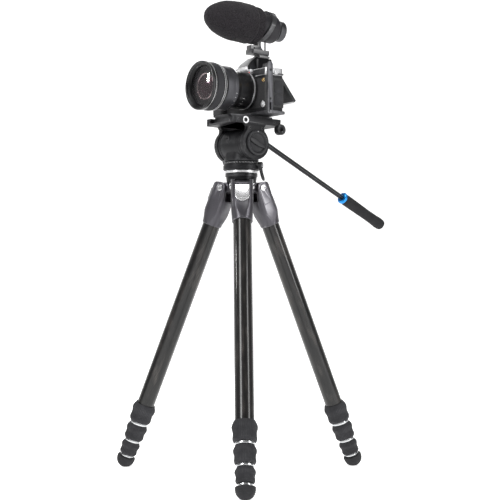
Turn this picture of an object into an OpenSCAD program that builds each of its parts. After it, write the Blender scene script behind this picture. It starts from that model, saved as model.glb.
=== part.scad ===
// Mirrorless camera with shotgun microphone on a fluid video head and a columnless tripod.
// The pan axis is x = y = 0 and the floor is z = 0. The lens looks along -Y.

/* [Tripod legs] */
// Angle between a spread leg and the vertical
leg_angle = 23.1; // [21:0.1:26]
// Turn of the first leg about the pan axis, counted from +X
leg_turn = -36.5; // [-60:0.5:60]
// Distance of each leg hinge from the pan axis
hinge_radius = 30.5; // [30:0.5:36]
// Distance down the leg from its hinge to its first twist lock
upper_leg_len = 390; // [300:5:480]
// Outside diameter of the uppermost tube
tube_od = 28.8; // [27:0.2:29]
// Wall of every carbon tube
tube_wall = 1.5; // [1.2:0.1:1.7]
// Length of the first twist lock
lock_1_len = 32; // [28:0.5:40]
// Length of the second twist lock
lock_2_len = 27.5; // [25:0.5:36]
// Length of the third twist lock
lock_3_len = 23.5; // [21:0.5:32]
// Thickness of a twist lock around the tube that it turns on
lock_wall = 5.3; // [4:0.1:6]
// Radius of the rubber ball foot
foot_radius = 15.35; // [13:0.05:18]

/* [Leg castings] */
// Width of a leg casting across its two cheeks
casting_w = 35.6; // [35.4:0.2:41]
// Length of a casting down the leg from its hinge
casting_len = 64; // [56:1:80]
// Thickness of each cheek beside the spider lug
cheek_t = 5.8; // [5:0.2:5.8]
// Radius of a leg hinge pin
hinge_pin_r = 4; // [3:0.25:5]
// Width of a stop tab
tab_w = 22.6; // [18:0.2:22.8]

/* [Levelling base] */
// Radius of the levelling ball
ball_radius = 20.5; // [19:0.25:20.5]
// Radius of the flange that carries the head
flange_radius = 27.2; // [26.8:0.1:29]
// Height of that flange
flange_h = 9.5; // [9:0.5:12]
// Length of the grip below the ball
level_grip_len = 58; // [40:1:70]

/* [Fluid head] */
// Radius of the pan base
pan_base_radius = 29.7; // [28:0.1:33]
// Height of the pan base
pan_base_h = 14.9; // [12:0.1:20]
// Height of the tilt axis above the pan base
tilt_rise = 27.6; // [27:0.2:34]
// Radius of the tilt drum
drum_radius = 26; // [22:0.5:26]
// Length of the tilt drum along its axis
drum_len = 60; // [50:1:70]
// Thickness of each platform arm beside the drum
arm_t = 8; // [6:0.5:10]
// Width of the camera platform across the lens
platform_w = 77; // [76:1:90]
// Length of the camera platform along the lens
platform_len = 100; // [90:1:120]
// Height of the platform's underside above the tilt axis
platform_rise = 30.5; // [30:0.5:36]
// Thickness of the platform
platform_t = 11; // [10:0.5:14]
// Length of the quick-release plate
plate_len = 86; // [70:1:100]
// Width of the quick-release plate at its base
plate_w = 50; // [44:1:54]
// Thickness of the quick-release plate
plate_t = 13; // [12:0.5:15]

/* [Pan bar] */
// Angle of the bar below the horizontal
bar_angle = 25.6; // [0:1:45]
// Length of the bar from its clamp to the grip
bar_len = 237; // [180:1:300]
// Diameter of the bar
bar_od = 9; // [8:0.5:11]
// Length of the rubber grip
grip_len = 104; // [80:1:130]
// Diameter of the rubber grip
grip_od = 20; // [17:0.5:24]

/* [Camera] */
// Width of the camera body
body_w = 132.5; // [125:0.5:140]
// Distance of the body's connector side from the lens axis
body_left = 55; // [53:0.5:60]
// Depth of the body without its grip
body_d = 36; // [32:0.5:42]
// Height of the body up to the top plate
body_h = 58; // [54:0.5:62]
// Height of the metal top plate
top_plate_h = 12; // [10:0.5:15]
// Height of the finder hump above the top plate
hump_h = 23.5; // [20:0.5:26]
// Height of the lens axis above the camera's base
lens_axis_h = 37.5; // [36.5:0.5:40]

/* [Lens] */
// Length of the lens in front of the body
lens_len = 94; // [85:1:120]
// Outside diameter of the lens front
lens_od = 78.3; // [76:0.1:84]
// Diameter of the filter thread
filter_d = 72; // [67:0.5:72]
// Outside diameter of the zoom ring
zoom_od = 71; // [69:0.5:74]

/* [Microphone] */
// Height of the microphone axis above the camera's base
mic_axis_h = 146; // [144:1:160]
// Outside diameter of the foam windscreen
foam_od = 65; // [56:0.5:66]
// Length of the foam windscreen
foam_len = 102; // [92:1:120]
// Diameter of the microphone body
mic_od = 46; // [42:0.5:48]

/* [Clearances] */
// Gap between pieces that move past each other
move_gap = 0.4; // [0.3:0.05:0.5]
// Radial running clearance of a pin in its bore
pin_gap = 0.05; // [0.02:0.01:0.09]
// Glue gap between pieces fixed together
fix_gap = 0.05; // [0.02:0.01:0.1]

/* [Hidden] */
$fn = 64;
LEGS = [1, 2, 3];

// Colours
GUNMETAL = [0.23, 0.23, 0.26];
BLACK = [0.06, 0.06, 0.065];
SOFT_BLACK = [0.10, 0.10, 0.11];
RUBBER = [0.13, 0.13, 0.14];
CARBON = [0.16, 0.14, 0.13];
STEEL = [0.78, 0.79, 0.80];
SILVER = [0.70, 0.70, 0.71];
BLUE = [0.02, 0.42, 0.85];
GLASS = [0.30, 0.22, 0.30];

// Tubes, from the thickest down
tube_r1 = tube_od / 2;
tube_r2 = tube_r1 - tube_wall - move_gap;
tube_r3 = tube_r2 - tube_wall - move_gap;
tube_r4 = tube_r3 - tube_wall - move_gap;
lock_step = 4;
lock_ring_h = 4.6;
lock_nose = 4;
foot_neck = 4;

// Places down the leg, counted from its hinge
tube_1_top = 20;
tube_2_top = tube_1_top + 4;
tube_3_top = tube_2_top + 6;
tube_4_top = tube_3_top + 6;
lock_1_top = upper_leg_len;
lock_2_top = lock_1_top + lock_1_len + lock_ring_h + move_gap;
lock_3_top = lock_2_top + lock_2_len + lock_ring_h + move_gap;
foot_top = lock_3_top + lock_3_len + lock_ring_h + move_gap;
foot_centre = foot_top + foot_neck;
sole_cut = 1;
hinge_z = foot_centre * cos(leg_angle) + foot_radius - sole_cut;

// Leg casting
cheek_r = 9.4;
slot_half = casting_w / 2 - cheek_t;
lug_half = slot_half - move_gap;
socket_wall = 2;
outer_face = 17.8;
inner_face = tube_r1 + socket_wall;
socket_r = tube_r1 + socket_wall;
socket_top = 46;
casting_taper = 26;
casting_round = 11.5;
casting_corner_r = 24;
socket_end = 4;
tab_bed = tube_r1 + 1;
tab_t = 2.4;
tab_top = 6.4;
tab_len = 29.6;
tab_lip = 3;
nose_in = 5;
nose_h = 7;
pin_head_r = 5.2;
pin_head_t = 1.8;

// Levelling base, with the ball's centre as its reference
ball_z = hinge_z + 16.4;
bowl_wall = 4;
bowl_sphere_r = ball_radius + move_gap + bowl_wall;
bowl_top = ball_z + 1;
bowl_bottom = ball_z - 24.2;
bowl_neck_r = 14;
bowl_hole_r = 9.6;
hub_r = 22;
hub_bottom = hinge_z - 5;
hub_top = hinge_z + 5;
skirt_z = ball_z + 0.8;
flange_top = skirt_z + flange_h;
skirt_roof = bowl_top + 7.2;
ball_flat = 15.5;
stud_r = 2.6;
washer_z = bowl_bottom - move_gap;
washer_t = 2.4;
washer_in = 10.4;
washer_r = 13.4;
level_grip_top = ball_z - 31;
level_grip_r = 10;
hook_wire_r = 1.6;
hook_r = 8.5;

// Fluid head
pan_top = flange_top + pan_base_h;
tilt_z = pan_top + tilt_rise;
arm_in = drum_len / 2 + move_gap;
arm_out = arm_in + arm_t;
arm_r = 26.5;
arm_neck = 17;
arm_top_half = 21;
axle_r = 7;
platform_z = tilt_z + platform_rise;
platform_y = 5;
channel_depth = 8;
channel_lip = 4;
plate_z = platform_z + platform_t - channel_depth + 0.3;
plate_top = plate_z + plate_t;
bracket_t = 5;
upright_h = 84;
upright_w = 11;
tilt_lever_rest = 170;
tilt_lever_len = 30;
tilt_lever_hub = 9;
lever_turn = 28;
lever_in = 9;
lever_pin_r = 3;
lever_hub_r = 5.6;
lever_hub_len = 7;
lever_z = pan_top - 6.7;
lever_reach = 24;
lever_lean = 14;
lever_x = (pan_base_radius + move_gap) * cos(lever_turn);
lever_y = (pan_base_radius + move_gap) * sin(lever_turn);
camera_z = plate_top + bracket_t;
cap_r = 20;
cap_t = 5;
accessory_r = 3.175;
accessory_depth = 12;
accessory_y = -21;
lug_y = 50;
lug_z = platform_z - 5.5;
lug_r = 8.6;
lug_t = 9;
rosette_r = 7.4;
rosette_t = 1.6;
thread_r = 3;

// Pan bar, drawn along its own axis from its clamp
bar_r = bar_od / 2;
bar_lift = 8;
bar_socket_len = 20;
bar_socket_t = 2.2;
clamp_t = 13;
clamp_x = platform_w / 2 + lug_t - 5 + rosette_t + move_gap;
clamp_r = 9.4;
bar_ring_len = 7;
bar_ring_r = 10.6;

// Camera
body_front = 9;
body_rear = body_front + body_d;
body_right = body_left - body_w;
screw_y = body_front + body_d / 2;
screw_head_r = 7;
screw_head_t = 3.5;
top_z = camera_z + body_h;
deck_z = top_z + top_plate_h;
hump_top = top_z + top_plate_h + hump_h;
lens_z = camera_z + lens_axis_h;
hump_half = 17;
hump_top_half = 11;
hump_rear = 54;
shoe_z = hump_top - 4;
shoe_y0 = 31;
shoe_y1 = 52;
dial_y = 33;
iso_x = 37;
shutter_x = -36;
button_x = -63;
dial_h = 9;
dial_r = 8.5;
dial_pin_r = 3;
dial_pin_len = 1.8;
body_round = 7;
lcd_near = 19;
button_r = 4;
lcd_w = 80;
lcd_h = 57;
lcd_t = 6;
lcd_hinge_y = body_rear + 4;
lcd_hinge_z = deck_z - lcd_t / 2 - 1.5;
lcd_angle = 40;

// Lens, with places counted back from its front
lens_front = body_front - lens_len;
front_ring_len = 9;
focus_back = 22.5;
zoom_front = 31.5;
zoom_back = 54;
ring_bed = 3;
barrel_r = 31;
collar_r = 32;
collar_len = 8;
glass_recess = 7;
glass_r = filter_d / 2 - 3 - fix_gap;
glass_bow = 120;
thread_depth = 4;

// Microphone
mic_z = camera_z + mic_axis_h;
mic_lean = 3.1;
mic_block_half = 9;
mic_block_top = 27;
foam_r = foam_od / 2;
mic_r = mic_od / 2;
foam_front = -73;
foam_nose = 64;
foam_steps = 16;
foam_cuff = 14;
foam_wall = 13.5;
foam_back = foam_front + foam_len;
capsule_r = 10.5;
mic_back = foam_back + 38;
mic_dial_r = 17.3;
mic_dial_back = mic_back + 17;
cradle_y = foam_back + 17.5;
cradle_w = 8;
cradle_t = 3;
cradle_lean = 23;
mount_z0 = shoe_z + 10;
mount_z1 = mount_z0 + 7;
rail_half = 10;
arm_front = foam_back + 0.6;
arm_rear = foam_back + 7;
web_r = 9;
foot_neck_half = 6;
nut_z = shoe_z + 4.7;
nut_t = 3.2;
mount_front = 15.5;
mount_rear = 52;
mount_half = 6;
post_r = 1.2;
foot_half = 9;

// Places what is drawn in a leg's own frame: hinge at the origin, the leg running along -Z, +X outwards
module in_leg(i)
    rotate([0, 0, leg_turn + 120 * (i - 1)])
        translate([hinge_radius, 0, hinge_z])
            rotate([0, -leg_angle, 0])
                children();

// Turns a profile of [radius, distance down the leg] points about the leg
module leg_turned(points)
    rotate_extrude()
        polygon([for (p = points) [p[0], -p[1]]]);

// Solid of revolution about +Z, +Y or +X
module turned(points)
    rotate_extrude()
        polygon(points);

module along_y()
    rotate([-90, 0, 0])
        children();

module along_x()
    rotate([0, 90, 0])
        children();

// Rectangle from a corner to the opposite one, with round corners
module round_rect(x0, y0, x1, y1, r) {
    translate([x0 + r, y0])
        square([x1 - x0 - 2 * r, y1 - y0]);
    translate([x0, y0 + r])
        square([x1 - x0, y1 - y0 - 2 * r]);
    for (x = [x0 + r, x1 - r], y = [y0 + r, y1 - r])
        translate([x, y])
            circle(r);
}

module block(x0, y0, z0, x1, y1, z1)
    translate([x0, y0, z0])
        cube([x1 - x0, y1 - y0, z1 - z0]);

// Carbon tube between two places down the leg
module leg_tube(outer_r, top, bottom)
    leg_turned([[outer_r - tube_wall, top], [outer_r, top], [outer_r, bottom], [outer_r - tube_wall, bottom]]);

// Twist lock: a waisted sleeve that turns on the thicker tube and closes on the thinner one below it
module twist_lock(top, len, upper_r, lower_r) {
    wide = upper_r + lock_wall;
    leg_turned([
        [upper_r + move_gap, top],
        [upper_r + 1.6, top],
        [wide - 0.8, top + 0.2 * len],
        [wide, top + 0.3 * len],
        [wide - 0.6, top + 0.42 * len],
        [wide - 1.9, top + 0.55 * len],
        [wide - 1.7, top + 0.75 * len],
        [wide - 1.1, top + 0.86 * len],
        [wide - 2.2, top + len],
        [wide - lock_step - 0.6, top + len],
        [wide - lock_step - 0.6, top + len + lock_ring_h],
        [lower_r + move_gap, top + len + lock_ring_h],
        [lower_r + move_gap, top + len - lock_nose],
        [upper_r + move_gap, top + len - lock_nose]]);
}

// Side outline of a leg casting's fork, with +Y up the leg
module casting_outline() {
    circle(cheek_r);
    polygon([
        [-cheek_r, 0], [-inner_face, -casting_taper + 4], [-inner_face, -casting_len + socket_end],
        [socket_r, -casting_len + socket_end], [outer_face, -casting_taper - 6], [outer_face, -3],
        [outer_face - 3, 3], [outer_face - 8, 7], [3, 8.9], [0, 0]]);
}

// The same fork seen from outside: it narrows to the tube's socket
module casting_front() {
    half = casting_w / 2;
    low = -casting_len + socket_end;
    polygon([[-half, 20], [half, 20], [half, -casting_taper], [socket_r, low], [-socket_r, low],
             [-half, -casting_taper]]);
}

module shoulder(i) color(GUNMETAL)
    in_leg(i)
        difference() {
            union() {
                intersection() {
                    rotate([90, 0, 0])
                        linear_extrude(casting_w, center = true)
                            casting_outline();
                    rotate([90, 0, 90])
                        linear_extrude(60, center = true)
                            casting_front();
                    translate([0, 0, -casting_len])
                        linear_extrude(casting_len + 20)
                            round_rect(-outer_face, -casting_w / 2, outer_face, casting_w / 2, casting_round);
                    // cone that blends the fork's corners into the socket
                    leg_turned([[0, -20], [casting_corner_r, -20], [casting_corner_r, casting_taper],
                                [socket_r, casting_len - socket_end], [0, casting_len - socket_end]]);
                }
                leg_turned([[0, socket_top - 12], [socket_r, socket_top - 12], [socket_r, casting_len - 0.8],
                            [socket_r - 0.8, casting_len], [0, casting_len]]);
            }
            // room for the spider's lug
            block(-30, -slot_half, -tube_1_top + 1, 30, slot_half, 20);
            // bed of the stop tab
            block(tab_bed, -slot_half, -tab_top - tab_len + tab_w / 2, 30, slot_half, 0);
            translate([0, 0, -tab_top - tab_len + tab_w / 2])
                rotate([0, 90, 0])
                    translate([0, 0, tab_bed])
                        cylinder(r = slot_half, h = 20);
            translate([0, 0, -casting_len - 1])
                cylinder(r = tube_r1 + fix_gap, h = casting_len + 1 - tube_1_top);
            rotate([90, 0, 0])
                cylinder(r = hinge_pin_r + pin_gap, h = casting_w + 2, center = true);
        }

// U-shaped tab with a finger lip below and a nose above that stops against the spider's lug
module stop_tab(i) color(STEEL)
    in_leg(i) {
        round_z = -tab_top - tab_len + tab_w / 2;
        translate([tab_bed + move_gap, 0, 0])
            rotate([90, 0, 90])
                linear_extrude(tab_t) {
                    translate([-tab_w / 2, round_z])
                        square([tab_w, -tab_top - round_z]);
                    translate([0, round_z])
                        circle(tab_w / 2);
                }
        translate([tab_bed + move_gap + tab_t - 0.2, 0, 0])
            rotate([90, 0, 90])
                linear_extrude(tab_lip)
                    intersection() {
                        translate([0, round_z])
                            circle(tab_w / 2);
                        translate([-tab_w / 2, round_z - tab_w])
                            square([tab_w, tab_w - 7]);
                    }
        block(tab_bed - nose_in, -tab_w / 2, -tab_top - nose_h, tab_bed + move_gap + tab_t, tab_w / 2, -tab_top);
    }

module foot_section(i) in_leg(i) {
    color(CARBON)
        leg_tube(tube_r4, tube_4_top, foot_centre);
    color(RUBBER)
        difference() {
            union() {
                leg_turned([[0, foot_top], [foot_radius - 1.2, foot_top], [foot_radius, foot_top + 1.2],
                            [foot_radius, foot_centre], [0, foot_centre]]);
                translate([0, 0, -foot_centre])
                    sphere(foot_radius);
            }
            // flat sole on the floor
            rotate([0, leg_angle, 0])
                translate([-60, -30, -hinge_z - 20])
                    translate([hinge_z * tan(leg_angle), 0, 0])
                        cube([120, 60, 20]);
            // flat top under the third lock
            translate([0, 0, -foot_top])
                cylinder(r = foot_radius + 1, h = foot_radius);
            // socket of the lowest tube
            translate([0, 0, -foot_centre - fix_gap])
                cylinder(r = tube_r4 + fix_gap, h = foot_neck + 1 + fix_gap);
            translate([0, 0, -foot_top - 0.01])
                cylinder(r = tube_r4 + fix_gap, h = 1);
        }
}

module lug_outline() {
    circle(cheek_r - 0.6);
    polygon([[-hinge_radius, 8.4], [0, 8.4], [0, -8.8], [-6, -8.8], [-hinge_radius + 14, -4], [-hinge_radius, -4]]);
}

// Casting with a lug for each leg, and a seat for the levelling bowl
module spider() color(GUNMETAL)
    difference() {
        union() {
            translate([0, 0, hub_bottom])
                cylinder(r = hub_r, h = hub_top - hub_bottom);
            for (i = LEGS)
                rotate([0, 0, leg_turn + 120 * (i - 1)])
                    translate([hinge_radius, 0, hinge_z])
                        rotate([90, 0, 0])
                            linear_extrude(2 * lug_half, center = true)
                                lug_outline();
        }
        translate([0, 0, ball_z])
            sphere(bowl_sphere_r + fix_gap);
        translate([0, 0, hinge_z - 30])
            cylinder(r = bowl_neck_r + fix_gap, h = 60);
        for (i = LEGS)
            rotate([0, 0, leg_turn + 120 * (i - 1)])
                translate([hinge_radius, 0, hinge_z])
                    rotate([90, 0, 0])
                        cylinder(r = hinge_pin_r + fix_gap, h = casting_w, center = true);
    }

// Three hinge bolts, each with a flat head at both ends
module hinge_pins() color(STEEL)
    for (i = LEGS)
        rotate([0, 0, leg_turn + 120 * (i - 1)])
            translate([hinge_radius, 0, hinge_z])
                rotate([90, 0, 0]) {
                    half = casting_w / 2 + 0.3;
                    cylinder(r = hinge_pin_r, h = 2 * half, center = true);
                    for (side = [0, 180])
                        rotate([side, 0, 0])
                            translate([0, 0, half])
                                cylinder(r1 = pin_head_r, r2 = pin_head_r - 0.6, h = pin_head_t);
                }

// Cup that the ball turns in, seated in the spider
module level_bowl() color(SOFT_BLACK)
    difference() {
        intersection() {
            union() {
                translate([0, 0, ball_z])
                    sphere(bowl_sphere_r);
                translate([0, 0, bowl_bottom])
                    cylinder(r = bowl_neck_r, h = 8);
            }
            translate([0, 0, bowl_bottom])
                cylinder(r = 40, h = bowl_top - bowl_bottom);
        }
        translate([0, 0, ball_z])
            sphere(ball_radius + move_gap);
        translate([0, 0, bowl_bottom - 1])
            cylinder(r = bowl_hole_r, h = ball_radius);
    }

// Ring that the grip pulls up against the bowl
module clamp_washer() color(STEEL)
    turned([[washer_in, washer_z - washer_t], [washer_r, washer_z - washer_t],
            [washer_r, washer_z], [washer_in, washer_z]]);

// Ball, with the flange that carries the head and hangs over the cup
module level_ball() color(SOFT_BLACK)
    difference() {
        union() {
            intersection() {
                translate([0, 0, ball_z])
                    sphere(ball_radius);
                translate([0, 0, ball_z - ball_flat])
                    cylinder(r = ball_radius + 1, h = ball_flat + skirt_roof - ball_z + 0.5);
            }
            difference() {
                turned([[0, skirt_z], [flange_radius - 0.8, skirt_z], [flange_radius, skirt_z + 4],
                        [flange_radius, flange_top - 1], [flange_radius - 1, flange_top], [0, flange_top]]);
                // hollow that clears the cup as the ball tilts
                intersection() {
                    translate([0, 0, ball_z])
                        sphere(bowl_sphere_r + move_gap);
                    translate([0, 0, skirt_z - 1])
                        cylinder(r = flange_radius, h = skirt_roof - skirt_z + 1);
                }
            }
        }
        // thread for the grip's stud
        translate([0, 0, ball_z - ball_radius])
            cylinder(r = stud_r + pin_gap, h = ball_radius + 4);
    }

// Grip with its clamp stud above and a hook ring below
module level_handle() color(SOFT_BLACK) {
    grip_bottom = level_grip_top - level_grip_len;
    ring_z = grip_bottom - hook_r + 1;
    turned([[0, ball_z + 2], [stud_r, ball_z + 2], [stud_r, level_grip_top], [level_grip_r - 3, level_grip_top],
            [level_grip_r, level_grip_top - 3], [level_grip_r, grip_bottom + 2],
            [level_grip_r - 2, grip_bottom], [0, grip_bottom]]);
    translate([0, 0, ring_z])
        rotate([90, 0, 0])
            rotate_extrude()
                translate([hook_r, 0])
                    circle(hook_wire_r);
}

module pan_base() color(BLACK)
    difference() {
        turned([[0, flange_top], [pan_base_radius - 1.5, flange_top], [pan_base_radius, flange_top + 1.5],
                [pan_base_radius, pan_top - 6], [pan_base_radius - 1.2, pan_top - 5],
                [pan_base_radius - 1.2, pan_top], [0, pan_top]]);
        // bed of the lock lever's bolt
        translate([lever_x, lever_y, lever_z])
            rotate([0, 0, lever_turn])
                along_x()
                    translate([0, 0, -lever_in])
                        cylinder(r = lever_pin_r + pin_gap, h = lever_in + 1);
    }

// Lever at the side of the pan base
module pan_lock_lever() color(BLACK)
    translate([lever_x, lever_y, lever_z])
        rotate([0, 0, lever_turn]) {
            along_x()
                translate([0, 0, -lever_in + 1])
                    cylinder(r = lever_pin_r, h = lever_in);
            along_x()
                cylinder(r = lever_hub_r, h = lever_hub_len);
            // blade that hangs down and a little out
            translate([lever_hub_len / 2, 0, 0])
                rotate([0, -lever_lean, 0])
                    rotate([90, 0, 0])
                        linear_extrude(8, center = true)
                            round_rect(-2.6, -lever_reach, 2.6, 0, 2.5);
        }

module head_housing() color(BLACK)
    difference() {
        union() {
            translate([0, 0, tilt_z])
                rotate([0, 90, 0])
                    cylinder(r = drum_radius, h = drum_len, center = true);
            intersection() {
                block(-drum_len / 2, -drum_radius, pan_top + move_gap, drum_len / 2, drum_radius, tilt_z);
                translate([0, 0, pan_top])
                    cylinder(r = pan_base_radius - 1.2, h = tilt_rise);
            }
        }
        translate([0, 0, tilt_z])
            rotate([0, 90, 0])
                cylinder(r = axle_r + pin_gap, h = drum_len + 2, center = true);
    }

// A disc round the tilt axis with a neck up to the platform
module arm_outline() {
    circle(arm_r);
    polygon([
        [-arm_r + 4, 0], [arm_r - 4, 0], [arm_neck, drum_radius - 3], [arm_neck, platform_rise - 4],
        [arm_top_half, platform_rise + 1], [-arm_top_half, platform_rise + 1], [-arm_neck, platform_rise - 4],
        [-arm_neck, drum_radius - 3]]);
}

// Tilting cradle: two arms on an axle, the slide channel for the plate, and two lugs for a pan bar
module platform() color(BLACK)
    difference() {
        union() {
            translate([0, 0, platform_z])
                linear_extrude(platform_t)
                    round_rect(-platform_w / 2, platform_y - platform_len / 2, platform_w / 2,
                               platform_y + platform_len / 2, 7);
            for (side = [-1, 1])
                translate([side * (arm_in + arm_t / 2), 0, tilt_z])
                    rotate([90, 0, 90])
                        linear_extrude(arm_t, center = true)
                            arm_outline();
            translate([0, 0, tilt_z])
                rotate([0, 90, 0])
                    cylinder(r = axle_r, h = 2 * arm_in + 1, center = true);
            for (side = [-1, 1])
                translate([side * (platform_w / 2 - 5 + lug_t / 2), lug_y, lug_z])
                    rotate([0, 90, 0])
                        cylinder(r = lug_r, h = lug_t, center = true);
        }
        // channel that holds the plate under two lips
        translate([0, 0, plate_z - 0.3])
            rotate([90, 0, 0])
                linear_extrude(2 * platform_len + 20, center = true)
                    polygon([
                        [-plate_w / 2 - move_gap, 0], [plate_w / 2 + move_gap, 0],
                        [plate_w / 2 + move_gap, channel_depth - channel_lip],
                        [plate_w / 2 - channel_lip + move_gap, channel_depth + 1],
                        [-plate_w / 2 + channel_lip - move_gap, channel_depth + 1],
                        [-plate_w / 2 - move_gap, channel_depth - channel_lip]]);
        // accessory thread in the near side
        translate([platform_w / 2 - accessory_depth, accessory_y, platform_z + platform_t / 2])
            along_x()
                cylinder(r = accessory_r, h = accessory_depth + 1);
        // threads of the two pan bar lugs
        for (side = [-1, 1])
            translate([side * (platform_w / 2 - 5 + lug_t / 2), lug_y, lug_z])
                rotate([0, 90, 0])
                    cylinder(r = thread_r, h = lug_t + 2, center = true);
        // bolt bed of the plate lock knob
        translate([-platform_w / 2 - 1, platform_y, platform_z + platform_t / 2])
            along_x()
                cylinder(r = thread_r + pin_gap, h = 10);
    }

module quick_plate() {
    base = plate_top - plate_z;
    color(SOFT_BLACK)
        difference() {
            translate([0, platform_y, plate_z])
                rotate([90, 0, 0])
                    linear_extrude(plate_len, center = true)
                        polygon([
                            [-plate_w / 2, 0], [plate_w / 2, 0], [plate_w / 2, channel_depth - channel_lip - 0.5],
                            [plate_w / 2 - channel_lip, channel_depth], [plate_w / 2 - channel_lip, base],
                            [-plate_w / 2 + channel_lip, base], [-plate_w / 2 + channel_lip, channel_depth],
                            [-plate_w / 2, channel_depth - channel_lip - 0.5]]);
            translate([0, screw_y, plate_z - 1])
                cylinder(r = screw_head_r + fix_gap, h = 1 + screw_head_t + fix_gap);
            translate([0, screw_y, plate_z])
                cylinder(r = accessory_r + fix_gap, h = 20);
        }
    // camera screw, held in the plate
    color(STEEL)
        translate([0, screw_y, plate_z + 0.2]) {
            cylinder(r = screw_head_r, h = screw_head_t - 0.2);
            cylinder(r = accessory_r, h = base - 0.2 + bracket_t - 0.5);
        }
}

module tilt_drag_knob() color(SOFT_BLACK)
    translate([arm_out + move_gap, 0, tilt_z])
        along_x()
            difference() {
                turned([[0, 0], [cap_r, 0], [cap_r, cap_t - 1.2], [cap_r - 1.2, cap_t], [0, cap_t]]);
                // finger recess either side of a grip bar
                for (side = [-1, 1])
                    translate([side * (4 + 14) - 14, -12, cap_t - 2.5])
                        intersection() {
                            cube([28, 24, 5]);
                            translate([14 - side * 18, 12, 0])
                                cylinder(r = 15, h = 5);
                        }
            }

// Lever of the tilt lock, on the far arm
module tilt_lock_lever() color(SOFT_BLACK)
    translate([-arm_out - move_gap, 0, tilt_z])
        rotate([0, -90, 0])
            rotate([0, 0, tilt_lever_rest]) {
                cylinder(r = tilt_lever_hub, h = 8);
                translate([0, 0, 6])
                    linear_extrude(5)
                        round_rect(-5, -5, tilt_lever_len, 5, 4.9);
            }

module plate_lock_knob() color(SOFT_BLACK)
    translate([-platform_w / 2 - move_gap, platform_y, platform_z + platform_t / 2])
        rotate([0, -90, 0]) {
            cylinder(r = 6, h = 4);
            translate([0, 0, 4])
                cylinder(r = 10, h = 9);
            translate([0, 0, -7])
                cylinder(r = thread_r, h = 8);
        }

// Places what is drawn along the bar: +X runs from the clamp to the grip, +Z is up from the bar
module on_bar()
    translate([-clamp_x, lug_y, lug_z])
        rotate([bar_angle * -1, 0, 0])
            translate([-clamp_t / 2, 0, bar_lift])
                rotate([0, 0, 90])
                    children();

module pan_bar() {
    color(SOFT_BLACK)
        difference() {
            union() {
                translate([-clamp_x - clamp_t, lug_y, lug_z])
                    along_x()
                        cylinder(r = clamp_r, h = clamp_t);
                translate([-clamp_x, lug_y, lug_z])
                    along_x()
                        cylinder(r = rosette_r, h = rosette_t);
                on_bar()
                    along_x()
                        cylinder(r = bar_r + bar_socket_t, h = bar_socket_len);
                on_bar()
                    along_x()
                        cylinder(r = bar_r, h = bar_len);
            }
            translate([-clamp_x - clamp_t - 1, lug_y, lug_z])
                along_x()
                    cylinder(r = thread_r + pin_gap, h = clamp_t + 5);
        }
}

module bar_ring() color(BLUE)
    on_bar()
        translate([bar_len, 0, 0])
            along_x()
                turned([[0, 0], [bar_ring_r - 2, 0], [bar_ring_r, 2], [bar_ring_r, bar_ring_len - 1],
                        [bar_ring_r - 1, bar_ring_len], [0, bar_ring_len]]);

module bar_grip() color(RUBBER)
    on_bar()
        translate([bar_len + bar_ring_len, 0, 0])
            along_x()
                turned([
                    [0, 0], [grip_od / 2 - 0.5, 0], [grip_od / 2, 8], [grip_od / 2 - 1, 0.6 * grip_len],
                    [grip_od / 2 + 0.3, grip_len - 12], [grip_od / 2 - 1, grip_len - 4],
                    [grip_od / 2 - 4, grip_len], [0, grip_len]]);

// Bolt with a winged knob that clamps the bar's rosette to the lug
module bar_clamp_knob() color(SOFT_BLACK)
    translate([-clamp_x - clamp_t - move_gap, lug_y, lug_z])
        rotate([0, -90, 0]) {
            turned([[0, 0], [7, 0], [9.5, 4], [9.5, 12], [8, 14], [0, 14]]);
            translate([0, 0, -clamp_t - rosette_t - 4])
                cylinder(r = thread_r - pin_gap, h = clamp_t + rosette_t + 5);
        }

module camera_body() color(BLACK)
    difference() {
        union() {
            translate([0, 0, camera_z])
                linear_extrude(body_h)
                    round_rect(body_right, body_front, body_left, body_rear, body_round);
            // hand grip in front of the far end
            translate([0, 0, camera_z + 1])
                linear_extrude(body_h - 4)
                    round_rect(body_right + 1, body_front - 13, body_right + 27, body_rear - 4, 8);
            // lens mount collar
            translate([0, body_front - 4, lens_z])
                along_y()
                    cylinder(r = collar_r, h = collar_len);
        }
        // tripod socket in the base
        translate([0, screw_y, camera_z - 1])
            cylinder(r = accessory_r + fix_gap, h = 7);
        // recess behind the tilting screen
        block(body_left - lcd_near - lcd_w - 1, body_rear - 3, camera_z + 6, body_left - lcd_near + 1, body_rear + 5,
              camera_z + body_h + 1);
    }

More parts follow.
